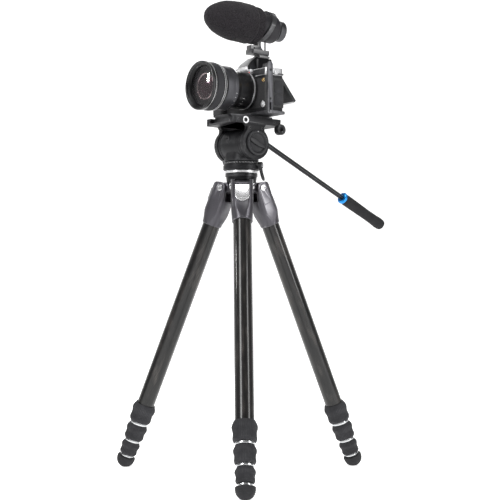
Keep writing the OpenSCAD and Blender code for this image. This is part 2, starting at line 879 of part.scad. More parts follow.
module top_plate() color(SILVER)
    difference() {
        union() {
            translate([0, 0, top_z])
                linear_extrude(top_plate_h)
                    round_rect(body_right, body_front, body_left, body_rear, body_round);
            // finder hump, cut to its side outline, with the eyepiece behind
            intersection() {
                translate([0, hump_rear, top_z])
                    rotate([90, 0, 0])
                        linear_extrude(hump_rear)
                            polygon([
                                [-hump_half - 4, 0], [hump_half + 4, 0], [hump_half, top_plate_h + 4],
                                [hump_top_half, hump_h + top_plate_h], [-hump_top_half, hump_h + top_plate_h],
                                [-hump_half, top_plate_h + 4]]);
                rotate([90, 0, 90])
                    linear_extrude(60, center = true)
                        polygon([
                            [body_front - 4, top_z], [body_front - 4, deck_z + 7], [body_front, deck_z + 13],
                            [body_front + 13, hump_top], [hump_rear, hump_top], [hump_rear, deck_z + 1],
                            [body_rear, deck_z + 1], [body_rear, top_z]]);
            }
        }
        // step and rails of the accessory shoe
        block(-hump_half - 5, shoe_y0 - 1, shoe_z + 3.4, hump_half + 5, hump_rear + 1, shoe_z + 40);
        block(-foot_half - 0.5, shoe_y0, shoe_z, foot_half + 0.5, hump_rear + 1, shoe_z + 2.4);
        block(-6.5, shoe_y0, shoe_z, 6.5, hump_rear + 1, shoe_z + 10);
        // the lens mount's collar
        translate([0, body_front - 5, lens_z])
            along_y()
                cylinder(r = collar_r + fix_gap, h = collar_len + 1);
        // beds of the dials and the release
        for (x = [iso_x, shutter_x])
            translate([x, dial_y - 8, deck_z - 2])
                cylinder(r = dial_pin_r + pin_gap, h = 3);
        translate([button_x, body_front + 4, deck_z - 3])
            cylinder(r = button_r + move_gap, h = 4);
    }

// L-shaped bracket: a base plate under the camera and an upright beside its connector side
module bracket() color(SILVER)
    difference() {
        union() {
            translate([0, 0, plate_top])
                linear_extrude(bracket_t)
                    round_rect(-42, body_front - 2, body_left + 7.5, body_rear - 3, 4);
            translate([body_left + 2.5, 5, plate_top])
                linear_extrude(upright_h)
                    round_rect(0, 0, bracket_t, upright_w, 2.4);
        }
        translate([0, screw_y, plate_top - 1])
            cylinder(r = accessory_r + fix_gap, h = bracket_t + 2);
    }

module lcd_screen() color(BLACK)
    translate([body_left - lcd_near, lcd_hinge_y, lcd_hinge_z])
        rotate([lcd_angle, 0, 0])
            rotate([90, 0, -90])
                linear_extrude(lcd_w - 2)
                    translate([0, -lcd_h])
                        round_rect(-lcd_t / 2, 0, lcd_t / 2, lcd_h + lcd_t / 2, lcd_t / 2 - 0.1);

module dial(x) color(SILVER)
    translate([x, dial_y - 8, deck_z]) {
        translate([0, 0, 0.3])
            cylinder(r = dial_r, h = dial_h);
        translate([0, 0, -dial_pin_len])
            cylinder(r = dial_pin_r, h = dial_pin_len + 1);
    }

module shutter_button() color(STEEL)
    translate([button_x, body_front + 4, deck_z - 1]) {
        cylinder(r = button_r, h = 4);
        translate([0, 0, 3])
            cylinder(r1 = 5.5, r2 = 4.5, h = 1.5);
    }

module lens_barrel() color(BLACK)
    translate([0, lens_front, lens_z])
        along_y()
            difference() {
                turned([
                    [0, 0], [lens_od / 2 - 1, 0], [lens_od / 2, 1], [lens_od / 2, front_ring_len],
                    [lens_od / 2 - ring_bed - 1, front_ring_len], [lens_od / 2 - ring_bed - 1, focus_back],
                    [lens_od / 2 - 1, focus_back], [lens_od / 2 - 3, zoom_front - 0.5],
                    [zoom_od / 2 - ring_bed, zoom_front], [zoom_od / 2 - ring_bed, zoom_back],
                    [barrel_r + 2, zoom_back], [barrel_r, zoom_back + 8], [barrel_r, lens_len - 4.1],
                    [0, lens_len - 4.1]]);
                // filter thread and the well of the front glass
                translate([0, 0, -1])
                    cylinder(r = filter_d / 2, h = thread_depth + 1);
                translate([0, 0, -1])
                    cylinder(r = filter_d / 2 - 3, h = glass_recess + 6);
            }

module sleeve(inner_r, outer_r, y0, y1)
    translate([0, lens_front, lens_z])
        along_y()
            turned([[inner_r, y0], [outer_r, y0], [outer_r, y1], [inner_r, y1]]);

module zoom_ring() color(SILVER)
    sleeve(zoom_od / 2 - ring_bed + pin_gap, zoom_od / 2, zoom_front + move_gap, zoom_back - move_gap);

module focus_ring() color(RUBBER)
    sleeve(lens_od / 2 - ring_bed - 1 + pin_gap, lens_od / 2 - 0.3, front_ring_len + move_gap,
           focus_back - move_gap);

// Domed front element
module front_glass() color(GLASS)
    translate([0, lens_front + glass_recess, lens_z])
        along_y()
            turned(concat(
                [for (t = [0:8]) let (r = glass_r * t / 8) [r, r * r / (2 * glass_bow)]],
                [[glass_r, 4.9], [0, 4.9]]));

// Places what is drawn about the microphone's axis, which leans nose-up about its strap
module in_mic()
    translate([0, cradle_y, mic_z])
        rotate([-mic_lean, 0, 0])
            translate([0, -cradle_y, 0])
                children();

module mic_body() color(BLACK)
    in_mic() {
        along_y()
            turned([
                [0, foam_front + foam_wall + 0.5], [capsule_r, foam_front + foam_wall + 0.5], [capsule_r, foam_back + 0.5],
                [mic_r - 4, foam_back + 0.5], [mic_r, foam_back + 3], [mic_r, mic_back - 3],
                [mic_r - 3, mic_back], [0, mic_back]]);
        // raised block of the controls
        rotate([90, 0, 90])
            linear_extrude(2 * mic_block_half, center = true)
                polygon([[mic_back - 28, 0], [mic_back - 28, mic_block_top - 4], [mic_back - 24, mic_block_top],
                         [mic_back - 4, mic_block_top - 1], [mic_back - 1, mic_block_top - 4],
                         [mic_back - 1, 0]]);
    }

// Foam sleeve: a half ellipsoid, then a cuff; closed in front and open behind
module windscreen() color(SOFT_BLACK)
    in_mic()
        along_y()
            difference() {
                turned(concat(
                    [for (t = [0:foam_steps]) let (a = 90 * t / foam_steps)
                        [foam_r * sin(a), foam_front + foam_nose * (1 - cos(a))]],
                    [[foam_r, foam_back - foam_cuff - 3], [foam_r - 1.6, foam_back - foam_cuff],
                     [foam_r - 1.6, foam_back - 1.5], [foam_r - 3.1, foam_back], [0, foam_back]]));
                translate([0, 0, foam_front + foam_wall])
                    cylinder(r = capsule_r + fix_gap, h = foam_len);
            }

module mic_dial() color(STEEL)
    in_mic()
        translate([0, mic_back + move_gap, 0])
            along_y()
                turned([[0, 0], [mic_dial_r - 2, 0], [mic_dial_r - 2, 3], [mic_dial_r, 4.5],
                        [mic_dial_r, mic_dial_back - mic_back - 1.5],
                        [mic_dial_r - 1.5, mic_dial_back - mic_back], [0, mic_dial_back - mic_back]]);

// Shock mount: shoe foot and nut, base rail, front block, curved arm, rear post, and a leaning strap round
// the microphone
module shock_mount() color(GUNMETAL) {
    difference() {
        union() {
            in_mic()
                intersection() {
                    translate([0, foam_back + 0.6, 0])
                        along_y()
                            cylinder(r = mic_r + cradle_t + fix_gap, h = mic_back - foam_back - 1.2);
                    translate([0, cradle_y, 0])
                        rotate([-cradle_lean, 0, 0])
                            block(-60, -cradle_w / 2, -60, 60, cradle_w / 2, 60);
                }
            block(-mount_half, arm_front, mount_z1 - 1, mount_half, arm_rear, mic_z - mic_r + 2);
        }
        in_mic() {
            translate([0, foam_back - 5, 0])
                along_y()
                    cylinder(r = mic_r + fix_gap, h = mic_back);
            // gap in the strap that clears the raised block
            block(-mic_block_half - move_gap, foam_back, 0, mic_block_half + move_gap, mic_back + 5, 60);
        }
    }
    // web between the arm and the rail
    difference() {
        block(-mount_half, arm_rear - 0.5, mount_z1 - 0.5, mount_half, arm_rear + web_r, mount_z1 + web_r);
        translate([0, arm_rear + web_r, mount_z1 + web_r])
            rotate([0, 90, 0])
                cylinder(r = web_r, h = 3 * mount_half, center = true);
    }
    block(-mount_half, mount_front, mount_z1 - 1, mount_half, arm_front + 0.4, mic_z - foam_r - fix_gap);
    translate([0, mount_front, mount_z0])
        linear_extrude(mount_z1 - mount_z0)
            round_rect(-rail_half, 0, rail_half, mount_rear - mount_front, 3);
    translate([0, mount_rear - 2.5, mount_z1 - 1])
        cylinder(r = post_r, h = mic_z - mic_r - move_gap - mount_z1 + 1);
    block(-foot_neck_half, shoe_y0 + 0.4, shoe_z + 0.2, foot_neck_half, shoe_y1, mount_z0 + 0.5);
    block(-foot_half, shoe_y0 + 0.4, shoe_z + 0.2, foot_half, shoe_y1, shoe_z + 2.2);
    block(-foot_half, shoe_y0 + 0.4, nut_z, foot_half, shoe_y1, nut_z + nut_t);
}

for (i = LEGS) {
    shoulder(i);
    color(CARBON) in_leg(i)
        leg_tube(tube_r1, tube_1_top + fix_gap, lock_1_top + lock_1_len - lock_nose - 1);
    color(RUBBER) in_leg(i)
        twist_lock(lock_1_top, lock_1_len, tube_r1, tube_r2);
    color(CARBON) in_leg(i)
        leg_tube(tube_r2, tube_2_top, lock_2_top + lock_2_len - lock_nose - 1);
    color(RUBBER) in_leg(i)
        twist_lock(lock_2_top, lock_2_len, tube_r2, tube_r3);
    color(CARBON) in_leg(i)
        leg_tube(tube_r3, tube_3_top, lock_3_top + lock_3_len - lock_nose - 1);
    color(RUBBER) in_leg(i)
        twist_lock(lock_3_top, lock_3_len, tube_r3, tube_r4);
    foot_section(i);
    stop_tab(i);
}
spider();
hinge_pins();
level_bowl();
clamp_washer();
level_ball();
level_handle();
pan_base();
head_housing();
pan_lock_lever();
tilt_drag_knob();
tilt_lock_lever();
platform();
quick_plate();
plate_lock_knob();
bar_clamp_knob();
pan_bar();
bar_ring();
bar_grip();
camera_body();
top_plate();
bracket();
lcd_screen();
shutter_button();
dial(iso_x);  // iso_dial
dial(shutter_x);  // shutter_dial
lens_barrel();
zoom_ring();
focus_ring();
front_glass();
mic_body();
windscreen();
shock_mount();
mic_dial();
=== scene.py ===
import math

import bmesh
import bpy
import numpy as np
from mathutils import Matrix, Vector


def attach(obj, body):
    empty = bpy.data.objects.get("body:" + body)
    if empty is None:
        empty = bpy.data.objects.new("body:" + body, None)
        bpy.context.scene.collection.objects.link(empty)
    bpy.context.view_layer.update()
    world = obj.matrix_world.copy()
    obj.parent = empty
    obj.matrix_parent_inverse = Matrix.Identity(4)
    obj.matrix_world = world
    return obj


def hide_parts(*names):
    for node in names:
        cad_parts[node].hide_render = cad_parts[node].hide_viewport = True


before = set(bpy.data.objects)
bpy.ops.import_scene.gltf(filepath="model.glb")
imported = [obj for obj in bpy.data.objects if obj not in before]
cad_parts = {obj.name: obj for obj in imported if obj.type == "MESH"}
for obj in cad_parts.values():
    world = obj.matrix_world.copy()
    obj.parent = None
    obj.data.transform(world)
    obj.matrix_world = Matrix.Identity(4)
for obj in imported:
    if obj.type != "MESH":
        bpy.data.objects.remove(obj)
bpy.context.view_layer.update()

# ---- Room, lights and camera --------------------------------------------------------------------------
# A white paper sweep that curves up behind the object, lit by large soft boxes from both sides, from
# the front and from above, with the camera at the height of the legs' middle.
scene = bpy.context.scene
scene.view_settings.view_transform = "Standard"


def sweep_sheet(reach, rise, bend):
    """Paper sweep: x runs across; along the sheet the height is 0, then a quarter circle of radius bend,
    then straight up to rise."""
    turn = np.linspace(0, np.pi / 2, 24)
    along = np.concatenate([[-3.5], reach - bend + bend * np.sin(turn), [reach]])
    height = np.concatenate([[0.0], bend - bend * np.cos(turn), [rise]])
    across = np.array([-6.0, 6.0])
    grid = np.stack(np.broadcast_arrays(across[:, None], along[None], height[None]), -1)
    n = len(along)
    k = np.arange(n - 1)
    return grid.reshape(-1, 3), np.stack([k, k + n, k + n + 1, k + 1], 1)


heading = math.radians(52.0)
co, faces = sweep_sheet(4.2, 4.5, 1.6)
turned = np.stack([co[:, 0] * math.cos(heading) - co[:, 1] * math.sin(heading),
                   co[:, 0] * math.sin(heading) + co[:, 1] * math.cos(heading), co[:, 2]], 1)
mesh = bpy.data.meshes.new("paper_sweep")
mesh.from_pydata(turned.tolist(), [], faces.tolist())
mesh.shade_smooth()
paper = bpy.data.objects.new("paper_sweep", mesh)
scene.collection.objects.link(paper)
paper_white = bpy.data.materials.new("paper_white")
paper_white.use_nodes = True
paper_nodes = paper_white.node_tree.nodes
paper_links = paper_white.node_tree.links
paper_face = paper_nodes["Principled BSDF"]
paper_face.inputs["Base Color"].default_value = (0.93, 0.93, 0.93, 1)
paper_face.inputs["Roughness"].default_value = 0.9
paper_face.inputs["Emission Color"].default_value = (1, 1, 1, 1)
paper_face.inputs["Emission Strength"].default_value = 0.62

# A camera behind the paper looks through it: the share of clear = faces away x is a camera ray.
behind = paper_nodes.new("ShaderNodeMath")
behind.operation = "MULTIPLY"
paper_links.new(paper_nodes.new("ShaderNodeNewGeometry").outputs["Backfacing"], behind.inputs[0])
paper_links.new(paper_nodes.new("ShaderNodeLightPath").outputs["Is Camera Ray"], behind.inputs[1])
see_through = paper_nodes.new("ShaderNodeMixShader")
paper_links.new(behind.outputs[0], see_through.inputs[0])
paper_links.new(paper_face.outputs[0], see_through.inputs[1])
paper_links.new(paper_nodes.new("ShaderNodeBsdfTransparent").outputs[0], see_through.inputs[2])
paper_links.new(see_through.outputs[0], paper_nodes["Material Output"].inputs["Surface"])
mesh.materials.append(paper_white)

# The room is white to the camera, and lights the object at the lower strength.
ROOM_STRENGTH = 0.22
world = bpy.data.worlds.new("studio")
world.use_nodes = True
room = world.node_tree.nodes["Background"]
room.inputs["Color"].default_value = (1.0, 1.0, 1.0, 1)
room_strength = world.node_tree.nodes.new("ShaderNodeMath")
room_strength.operation = "MULTIPLY_ADD"
world.node_tree.links.new(world.node_tree.nodes.new("ShaderNodeLightPath").outputs["Is Camera Ray"],
                          room_strength.inputs[0])
room_strength.inputs[1].default_value = 1.0 - ROOM_STRENGTH
room_strength.inputs[2].default_value = ROOM_STRENGTH
world.node_tree.links.new(room_strength.outputs[0], room.inputs["Strength"])
scene.world = world


def soft_box(name, azimuth, height, distance, width, tall, watts):
    """Area light facing the object's middle from that azimuth (0 is in front of the lens)."""
    light = bpy.data.lights.new(name, "AREA")
    light.shape = "RECTANGLE"
    light.size = width
    light.size_y = tall
    light.energy = watts
    lamp = bpy.data.objects.new(name, light)
    a = math.radians(azimuth)
    lamp.location = (distance * math.sin(a), -distance * math.cos(a), height)
    aim = Vector((0, 0, 0.42)) - lamp.location
    lamp.rotation_euler = aim.to_track_quat("-Z", "Y").to_euler()
    scene.collection.objects.link(lamp)


soft_box("key_box", 8, 1.5, 1.9, 0.6, 1.2, 24)
soft_box("side_box", 112, 0.9, 1.9, 0.45, 1.5, 17)
soft_box("top_box", 40, 2.5, 0.6, 1.4, 1.4, 22)
soft_box("back_box", 215, 1.4, 2.2, 1.0, 1.2, 14)
soft_box("glass_box", -47, 1.05, 1.9, 0.07, 0.13, 2.2)

lens_view = bpy.data.cameras.new("camera_view")
lens_view.lens = 88.7
lens_view.sensor_width = 36.0
viewer = bpy.data.objects.new("camera_view", lens_view)
viewer.location = (2.001 * math.sin(heading), -2.001 * math.cos(heading), 0.3075)
viewer.rotation_euler = (math.radians(91.65), 0, heading - math.radians(0.40))
scene.collection.objects.link(viewer)
scene.camera = viewer

# ---- Leg tubes ----------------------------------------------------------------------------------------
# Four carbon-fibre tubes to a leg, roll-wrapped in a twill and clear-coated, each sliding in the one
# above. All sizes here are millimetres; a leg is drawn down from its hinge and then set in place.
LEGS = (1, 2, 3)
LEG_LEAN = math.radians(23.1)
HINGE_RADIUS = 30.5
HINGE_HEIGHT = 466.902
TUBE_RADII = (14.4, 12.5, 10.6, 8.7)
TUBE_WALL = 1.5
TUBE_RUNS = ((20.05, 417.0), (24.0, 449.5), (30.0, 478.0), (36.0, 492.0))


def leg_frame(i):
    """Rows are the leg's own x (outwards), y (across) and z (up the leg) directions; with its origin."""
    turn = math.radians(-36.5 + 120 * (i - 1))
    out = np.array([math.cos(turn), math.sin(turn), 0])
    across = np.array([-math.sin(turn), math.cos(turn), 0])
    up = np.array([0, 0, 1.0])
    x = math.cos(LEG_LEAN) * out + math.sin(LEG_LEAN) * up
    z = -math.sin(LEG_LEAN) * out + math.cos(LEG_LEAN) * up
    return np.array([x, across, z]), HINGE_RADIUS * out + HINGE_HEIGHT * up


def axis_frame(origin, direction, start=(0, 0, 1)):
    """Rows for a piece turned about direction; its own x is start made square to that direction."""
    z = np.array(direction, float)
    z = z / np.linalg.norm(z)
    x = np.array(start, float)
    x = x - z * (x @ z)
    x = x / np.linalg.norm(x)
    return np.array([x, np.cross(z, x), z]), np.array(origin, float)


def rounded(points, radius, steps=3):
    """Every inner corner of an open outline is replaced with a quadratic curve that starts and ends
    radius away from it, or a little under half of the shorter side."""
    p = np.array(points, float)
    a, b, c = p[:-2], p[1:-1], p[2:]
    la = np.linalg.norm(a - b, axis=1, keepdims=True)
    lc = np.linalg.norm(c - b, axis=1, keepdims=True)
    cut = np.minimum(radius, 0.45 * np.minimum(la, lc))
    s, e = b + (a - b) * cut / la, b + (c - b) * cut / lc
    t = np.linspace(0, 1, steps + 1)[None, :, None]
    curve = (1 - t) ** 2 * s[:, None] + 2 * t * (1 - t) * b[:, None] + t ** 2 * e[:, None]
    return np.concatenate([p[:1], curve.reshape(-1, p.shape[1]), p[-1:]])


def turned_surface(profile, count, waves=None, arc=(0, 2 * np.pi)):
    """Surface of revolution: profile is (radius, place along the axis), run so that its outside is on
    its right. waves(angle, along, radius) adds to the radius. Poles close where the radius is 0."""
    p = np.array(profile, float)
    closed = abs(arc[1] - arc[0] - 2 * np.pi) < 1e-6
    n = count if closed else count + 1
    angle = (arc[0] + (arc[1] - arc[0]) * np.arange(n) / count)[:, None]
    r = np.broadcast_to(p[:, 0][None], (n, len(p)))
    s = np.broadcast_to(p[:, 1][None], (n, len(p)))
    if waves is not None:
        r = np.where(r > 1e-6, r + waves(angle, s, r), r)
    co = np.stack([r * np.cos(angle), r * np.sin(angle), s], -1)
    m = len(p)
    i, j = np.meshgrid(np.arange(n if closed else n - 1), np.arange(m - 1), indexing="ij")
    k = (i + 1) % n
    quads = np.stack([i * m + j, k * m + j, k * m + j + 1, i * m + j + 1], -1).reshape(-1, 4)
    length = np.concatenate([[0], np.cumsum(np.linalg.norm(np.diff(p, axis=0), axis=1))])
    widest = p[:, 0].max()
    uv = np.stack([(i + np.array([[[0]], [[1]], [[1]], [[0]]])) / count * 2 * np.pi * widest,
                   length[j + np.array([[[0]], [[0]], [[1]], [[1]]])]], -1)
    return co.reshape(-1, 3), quads, uv.transpose(1, 2, 0, 3).reshape(-1, 4, 2)


def make_piece(name, shapes, material, body, place=None, stands_for=(), crease=32):
    """One object from several (points, faces, uv) surfaces in millimetres, set in place, with its doubled
    points merged. Edges sharper than crease degrees stay hard."""
    points, polygons, layout, shift = [], [], [], 0
    for co, polys, *uv in shapes:
        points.append(np.asarray(co, float))
        polygons += [[int(v) + shift for v in poly] for poly in polys]
        layout.append(uv[0].reshape(-1, 2) if uv and uv[0] is not None
                      else np.zeros((sum(len(poly) for poly in polys), 2)))
        shift += len(co)
    co = np.concatenate(points)
    if place is not None:
        co = co @ place[0] + place[1]
    mesh = bpy.data.meshes.new(name)
    mesh.from_pydata((co * 0.001).tolist(), [], polygons)
    mesh.uv_layers.new(name="surface").data.foreach_set("uv", (np.concatenate(layout) * 0.001).ravel())
    work = bmesh.new()
    work.from_mesh(mesh)
    bmesh.ops.remove_doubles(work, verts=work.verts, dist=1e-6)
    bmesh.ops.recalc_face_normals(work, faces=work.faces)
    work.to_mesh(mesh)
    work.free()
    mesh.shade_smooth()
    mesh.set_sharp_from_angle(angle=math.radians(crease))
    mesh.materials.append(material)
    piece = bpy.data.objects.new(name, mesh)
    scene.collection.objects.link(piece)
    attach(piece, body)
    if stands_for:
        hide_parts(*([stands_for] if isinstance(stands_for, str) else stands_for))
    return piece


def new_material(name):
    """An empty node material with its shader; returns (material, nodes, link, shader)."""
    material = bpy.data.materials.new(name)
    material.use_nodes = True
    tree = material.node_tree
    return material, tree.nodes, tree.links.new, tree.nodes["Principled BSDF"]


def add_node(nodes, kind, **settings):
    """One node, with attributes by name and input values by the name of their socket."""
    node = nodes.new(kind)
    inputs = settings.pop("inputs", {})
    for key, value in settings.items():
        setattr(node, key, value)
    for key, value in inputs.items():
        node.inputs[key].default_value = value
    return node


def stop_colours(ramp, stops):
    """Sets a colour ramp from (place, colour) pairs; a colour may be one grey number."""
    band = ramp.color_ramp
    while len(band.elements) < len(stops):
        band.elements.new(0.5)
    for element, (place, colour) in zip(band.elements, stops):
        element.position = place
        rgb = colour if isinstance(colour, tuple) else (colour,) * 3
        element.color = (*rgb, 1)


# Twill under clear coat: two sets of fine slanting bands laid crosswise, broken up by slow lighter and
# darker streaks along the tube, painted reflections of the coat's shimmer, which also vary the gloss.
carbon, nodes, link, shader = new_material("carbon_twill")
where = add_node(nodes, "ShaderNodeUVMap", uv_map="surface")
stretch = add_node(nodes, "ShaderNodeMapping", inputs={"Scale": (520, 520, 1)})
link(where.outputs["UV"], stretch.inputs["Vector"])
checker = add_node(nodes, "ShaderNodeTexWave", wave_type="BANDS", bands_direction="DIAGONAL",
                   inputs={"Scale": 0.34, "Distortion": 1.2, "Detail": 2.0})
link(stretch.outputs["Vector"], checker.inputs["Vector"])
sheen_streak_map = add_node(nodes, "ShaderNodeMapping", inputs={"Scale": (46, 11, 1)})
link(where.outputs["UV"], sheen_streak_map.inputs["Vector"])
sheen_streaks = add_node(nodes, "ShaderNodeTexNoise", inputs={"Scale": 1.6, "Detail": 3.0, "Roughness": 0.55})
link(sheen_streak_map.outputs["Vector"], sheen_streaks.inputs["Vector"])
# Painted reflection: the slow streaks lighten and darken the carbon's colour.
painted_sheen_ramp = add_node(nodes, "ShaderNodeValToRGB")
stop_colours(painted_sheen_ramp, [(0.36, (0.003, 0.003, 0.003)), (0.52, (0.010, 0.009, 0.0085)),
                           (0.70, (0.050, 0.044, 0.040))])
link(sheen_streaks.outputs["Fac"], painted_sheen_ramp.inputs["Fac"])
weave_ramp = add_node(nodes, "ShaderNodeValToRGB")
stop_colours(weave_ramp, [(0.30, 0.45), (0.75, 1.0)])
link(checker.outputs["Fac"], weave_ramp.inputs["Fac"])
blend = add_node(nodes, "ShaderNodeMix", data_type="RGBA", blend_type="MULTIPLY", inputs={"Factor": 0.8})
link(painted_sheen_ramp.outputs["Color"], blend.inputs["A"])
link(weave_ramp.outputs["Color"], blend.inputs["B"])
link(blend.outputs["Result"], shader.inputs["Base Color"])
gloss = add_node(nodes, "ShaderNodeMapRange", inputs={"To Min": 0.30, "To Max": 0.48})
link(sheen_streaks.outputs["Fac"], gloss.inputs["Value"])
link(gloss.outputs["Result"], shader.inputs["Roughness"])
shader.inputs["Metallic"].default_value = 0.35
shader.inputs["Specular IOR Level"].default_value = 0.3
shader.inputs["Coat Weight"].default_value = 0.6
shader.inputs["Coat Roughness"].default_value = 0.10
relief = add_node(nodes, "ShaderNodeBump", inputs={"Strength": 0.10, "Distance": 0.0002})
link(checker.outputs["Fac"], relief.inputs["Height"])
link(relief.outputs["Normal"], shader.inputs["Normal"])


def tube_shape(radius, top, bottom, wall, count=72):
    """A tube down the leg: up the bore, over the top edge, down the outside and back in below, with
    small rounds on its edges and rings every 30 mm so that the twill lies evenly."""
    inner = radius - wall
    side = np.linspace(-top - 0.3, -bottom + 0.3, max(3, int((bottom - top) / 30)))
    outside = np.stack([np.full(len(side), radius), side], 1)
    profile = np.concatenate([[[inner, -bottom], [inner, -top], [radius - 0.3, -top]], outside,
                              [[radius - 0.3, -bottom], [inner, -bottom]]])
    return turned_surface(profile[::-1], count)


for i in LEGS:
    for k in range(3):
        name = f"tube_{k + 1}_leg_{i}"
        top, bottom = TUBE_RUNS[k]
        make_piece(f"carbon_{name}", [tube_shape(TUBE_RADII[k], top, bottom, TUBE_WALL)], carbon,
                   f"leg_{i}" if k == 0 else f"section_{k + 1}_{i}", leg_frame(i), name)

# ---- Twist locks --------------------------------------------------------------------------------------
# Moulded rubber sleeves with fine grip ribs along them, each on an aluminium nut whose bright turned lip
# shows below the rubber. A quarter turn frees the tube underneath.
LOCKS = ((390.0, 32.0, 14.4, 12.5), (427.0, 27.5, 12.5, 10.6), (459.5, 23.5, 10.6, 8.7))
LOCK_WALL = 5.3


def worn_and_lit_coat(name, colour, rough, metal=0.0, grain=900.0, bump=0.12, mottle=0.25, edge=None, streak=None,
              coat=0.0, depth=0.00015):
    """A painted, moulded or plated finish. Slow noise mottles the colour and the gloss, fine noise is the
    grain of the surface, and edge is the colour painted on sharp corners: partly rubbed wear, partly a
    painted highlight along the edges. Black finishes reflect less than bright ones."""
    material, nodes, link, shader = new_material(name)
    where = add_node(nodes, "ShaderNodeTexCoord").outputs["Object"]
    if streak:
        drawn = add_node(nodes, "ShaderNodeMapping", inputs={"Scale": streak})
        link(where, drawn.inputs["Vector"])
        fine_from = drawn.outputs["Vector"]
    else:
        fine_from = where
    slow = add_node(nodes, "ShaderNodeTexNoise", inputs={"Scale": 55.0, "Detail": 5.0, "Roughness": 0.6})
    link(where, slow.inputs["Vector"])
    fine = add_node(nodes, "ShaderNodeTexNoise", inputs={"Scale": grain, "Detail": 3.0, "Roughness": 0.6})
    link(fine_from, fine.inputs["Vector"])
    shade = add_node(nodes, "ShaderNodeValToRGB")
    dark = tuple(c * (1 - mottle) for c in colour)
    light = tuple(min(1.0, c * (1 + mottle)) for c in colour)
    stop_colours(shade, [(0.32, dark), (0.68, light)])
    both = add_node(nodes, "ShaderNodeMix", data_type="FLOAT", inputs={"Factor": 0.4})
    link(slow.outputs["Fac"], both.inputs["A"])
    link(fine.outputs["Fac"], both.inputs["B"])
    link(both.outputs["Result"], shade.inputs["Fac"])
    colour_out = shade.outputs["Color"]
    # Sharp corners take the edge colour: partly rubbed wear, partly a painted highlight along them.
    if edge:
        shape = add_node(nodes, "ShaderNodeNewGeometry")
        edge_lift = add_node(nodes, "ShaderNodeMath", operation="MULTIPLY_ADD", inputs={})
        link(slow.outputs["Fac"], edge_lift.inputs[0])
        edge_lift.inputs[1].default_value = 0.10
        link(shape.outputs["Pointiness"], edge_lift.inputs[2])
        wear_and_highlight = add_node(nodes, "ShaderNodeMapRange",
                        inputs={"From Min": 0.575, "From Max": 0.66, "To Max": 0.75})
        link(edge_lift.outputs["Value"], wear_and_highlight.inputs["Value"])
        top = add_node(nodes, "ShaderNodeMix", data_type="RGBA", inputs={"B": (*edge, 1)})
        link(wear_and_highlight.outputs["Result"], top.inputs["Factor"])
        link(colour_out, top.inputs["A"])
        colour_out = top.outputs["Result"]
    link(colour_out, shader.inputs["Base Color"])
    gloss = add_node(nodes, "ShaderNodeMapRange",
                     inputs={"To Min": max(0.03, rough - 0.09), "To Max": rough + 0.09})
    link(both.outputs["Result"], gloss.inputs["Value"])
    link(gloss.outputs["Result"], shader.inputs["Roughness"])
    shader.inputs["Metallic"].default_value = metal
    shader.inputs["Specular IOR Level"].default_value = 0.28 if max(colour) < 0.05 else 0.5
    if coat:
        shader.inputs["Coat Weight"].default_value = coat
        shader.inputs["Coat Roughness"].default_value = 0.12
    relief = add_node(nodes, "ShaderNodeBump", inputs={"Strength": bump, "Distance": depth})
    link(fine.outputs["Fac"], relief.inputs["Height"])
    link(relief.outputs["Normal"], shader.inputs["Normal"])
    return material


lock_rubber = worn_and_lit_coat("lock_rubber", (0.024, 0.024, 0.027), 0.62, grain=1400, bump=0.25, mottle=0.3,
                        edge=(0.12, 0.12, 0.125))
bright_ring = worn_and_lit_coat("bright_ring", (0.62, 0.63, 0.64), 0.24, metal=1.0, grain=600, bump=0.05,
                        mottle=0.12,
                        streak=(1, 1, 8))


def grip_ribs(count, depth, low, high):
    """Ribs along a sleeve: the cosine of count times the angle, flattened on top, sunk by depth and faded
    out towards the ends of the run from low to high."""
    def waves(angle, along, radius):
        rib = np.clip(1.6 * np.cos(count * angle), -1, 1)
        fade = np.clip((along - low) / 1.2, 0, 1) * np.clip((high - along) / 1.2, 0, 1)
        return -depth * (1 - rib) / 2 * fade
    return waves


for i in LEGS:
    for k, (top, length, upper, lower) in enumerate(LOCKS, start=1):
        wide = upper + LOCK_WALL
        end = top + length
        sleeve = rounded([[upper + 0.4, -end + 0.3], [wide - 2.6, -end], [wide - 1.1, -top - 0.86 * length],
                          [wide - 1.7, -top - 0.75 * length], [wide - 1.9, -top - 0.55 * length],
                          [wide - 0.6, -top - 0.42 * length], [wide, -top - 0.3 * length],
                          [wide - 0.8, -top - 0.2 * length], [upper + 1.8, -top], [upper + 0.4, -top],
                          [upper + 0.4, -top - 1.5]], 1.6, 4)
        ribs = grip_ribs(44, 0.55, -top - 0.90 * length, -top - 0.12 * length)
        rubber_part = turned_surface(np.concatenate([sleeve, [[upper + 0.4, -end + 0.3]]]), 264, ribs)
        make_piece(f"lock_{k}_sleeve_{i}", [rubber_part], lock_rubber, f"lock_{k}_body_{i}", leg_frame(i),
                   f"lock_{k}_leg_{i}", crease=60)
        low = wide - 4.6
        nut = rounded([[lower + 0.4, -end - 4.6], [low - 0.6, -end - 4.6], [low, -end - 4.0],
                       [low, -end - 1.6],
                       [low - 0.7, -end - 1.2], [low - 0.7, -end + 0.6], [lower + 0.4, -end + 0.6]], 0.3, 2)
        nut_part = turned_surface(np.concatenate([nut, [[lower + 0.4, -end - 4.6]]]), 96)
        make_piece(f"lock_{k}_nut_{i}", [nut_part], bright_ring,
                   f"lock_{k}_body_{i}", leg_frame(i))

# ---- Feet ---------------------------------------------------------------------------------------------
# The thinnest tube ends in a moulded rubber ball foot with three shallow grooves round it. The ball is
# worn flat on the floor.
FOOT_RADIUS = 15.35
FOOT_TOP, FOOT_CENTRE = 488.0, 492.0
foot_rubber = worn_and_lit_coat("foot_rubber", (0.020, 0.020, 0.022), 0.7, grain=900, bump=0.35, mottle=0.35,
                        edge=(0.10, 0.10, 0.10))


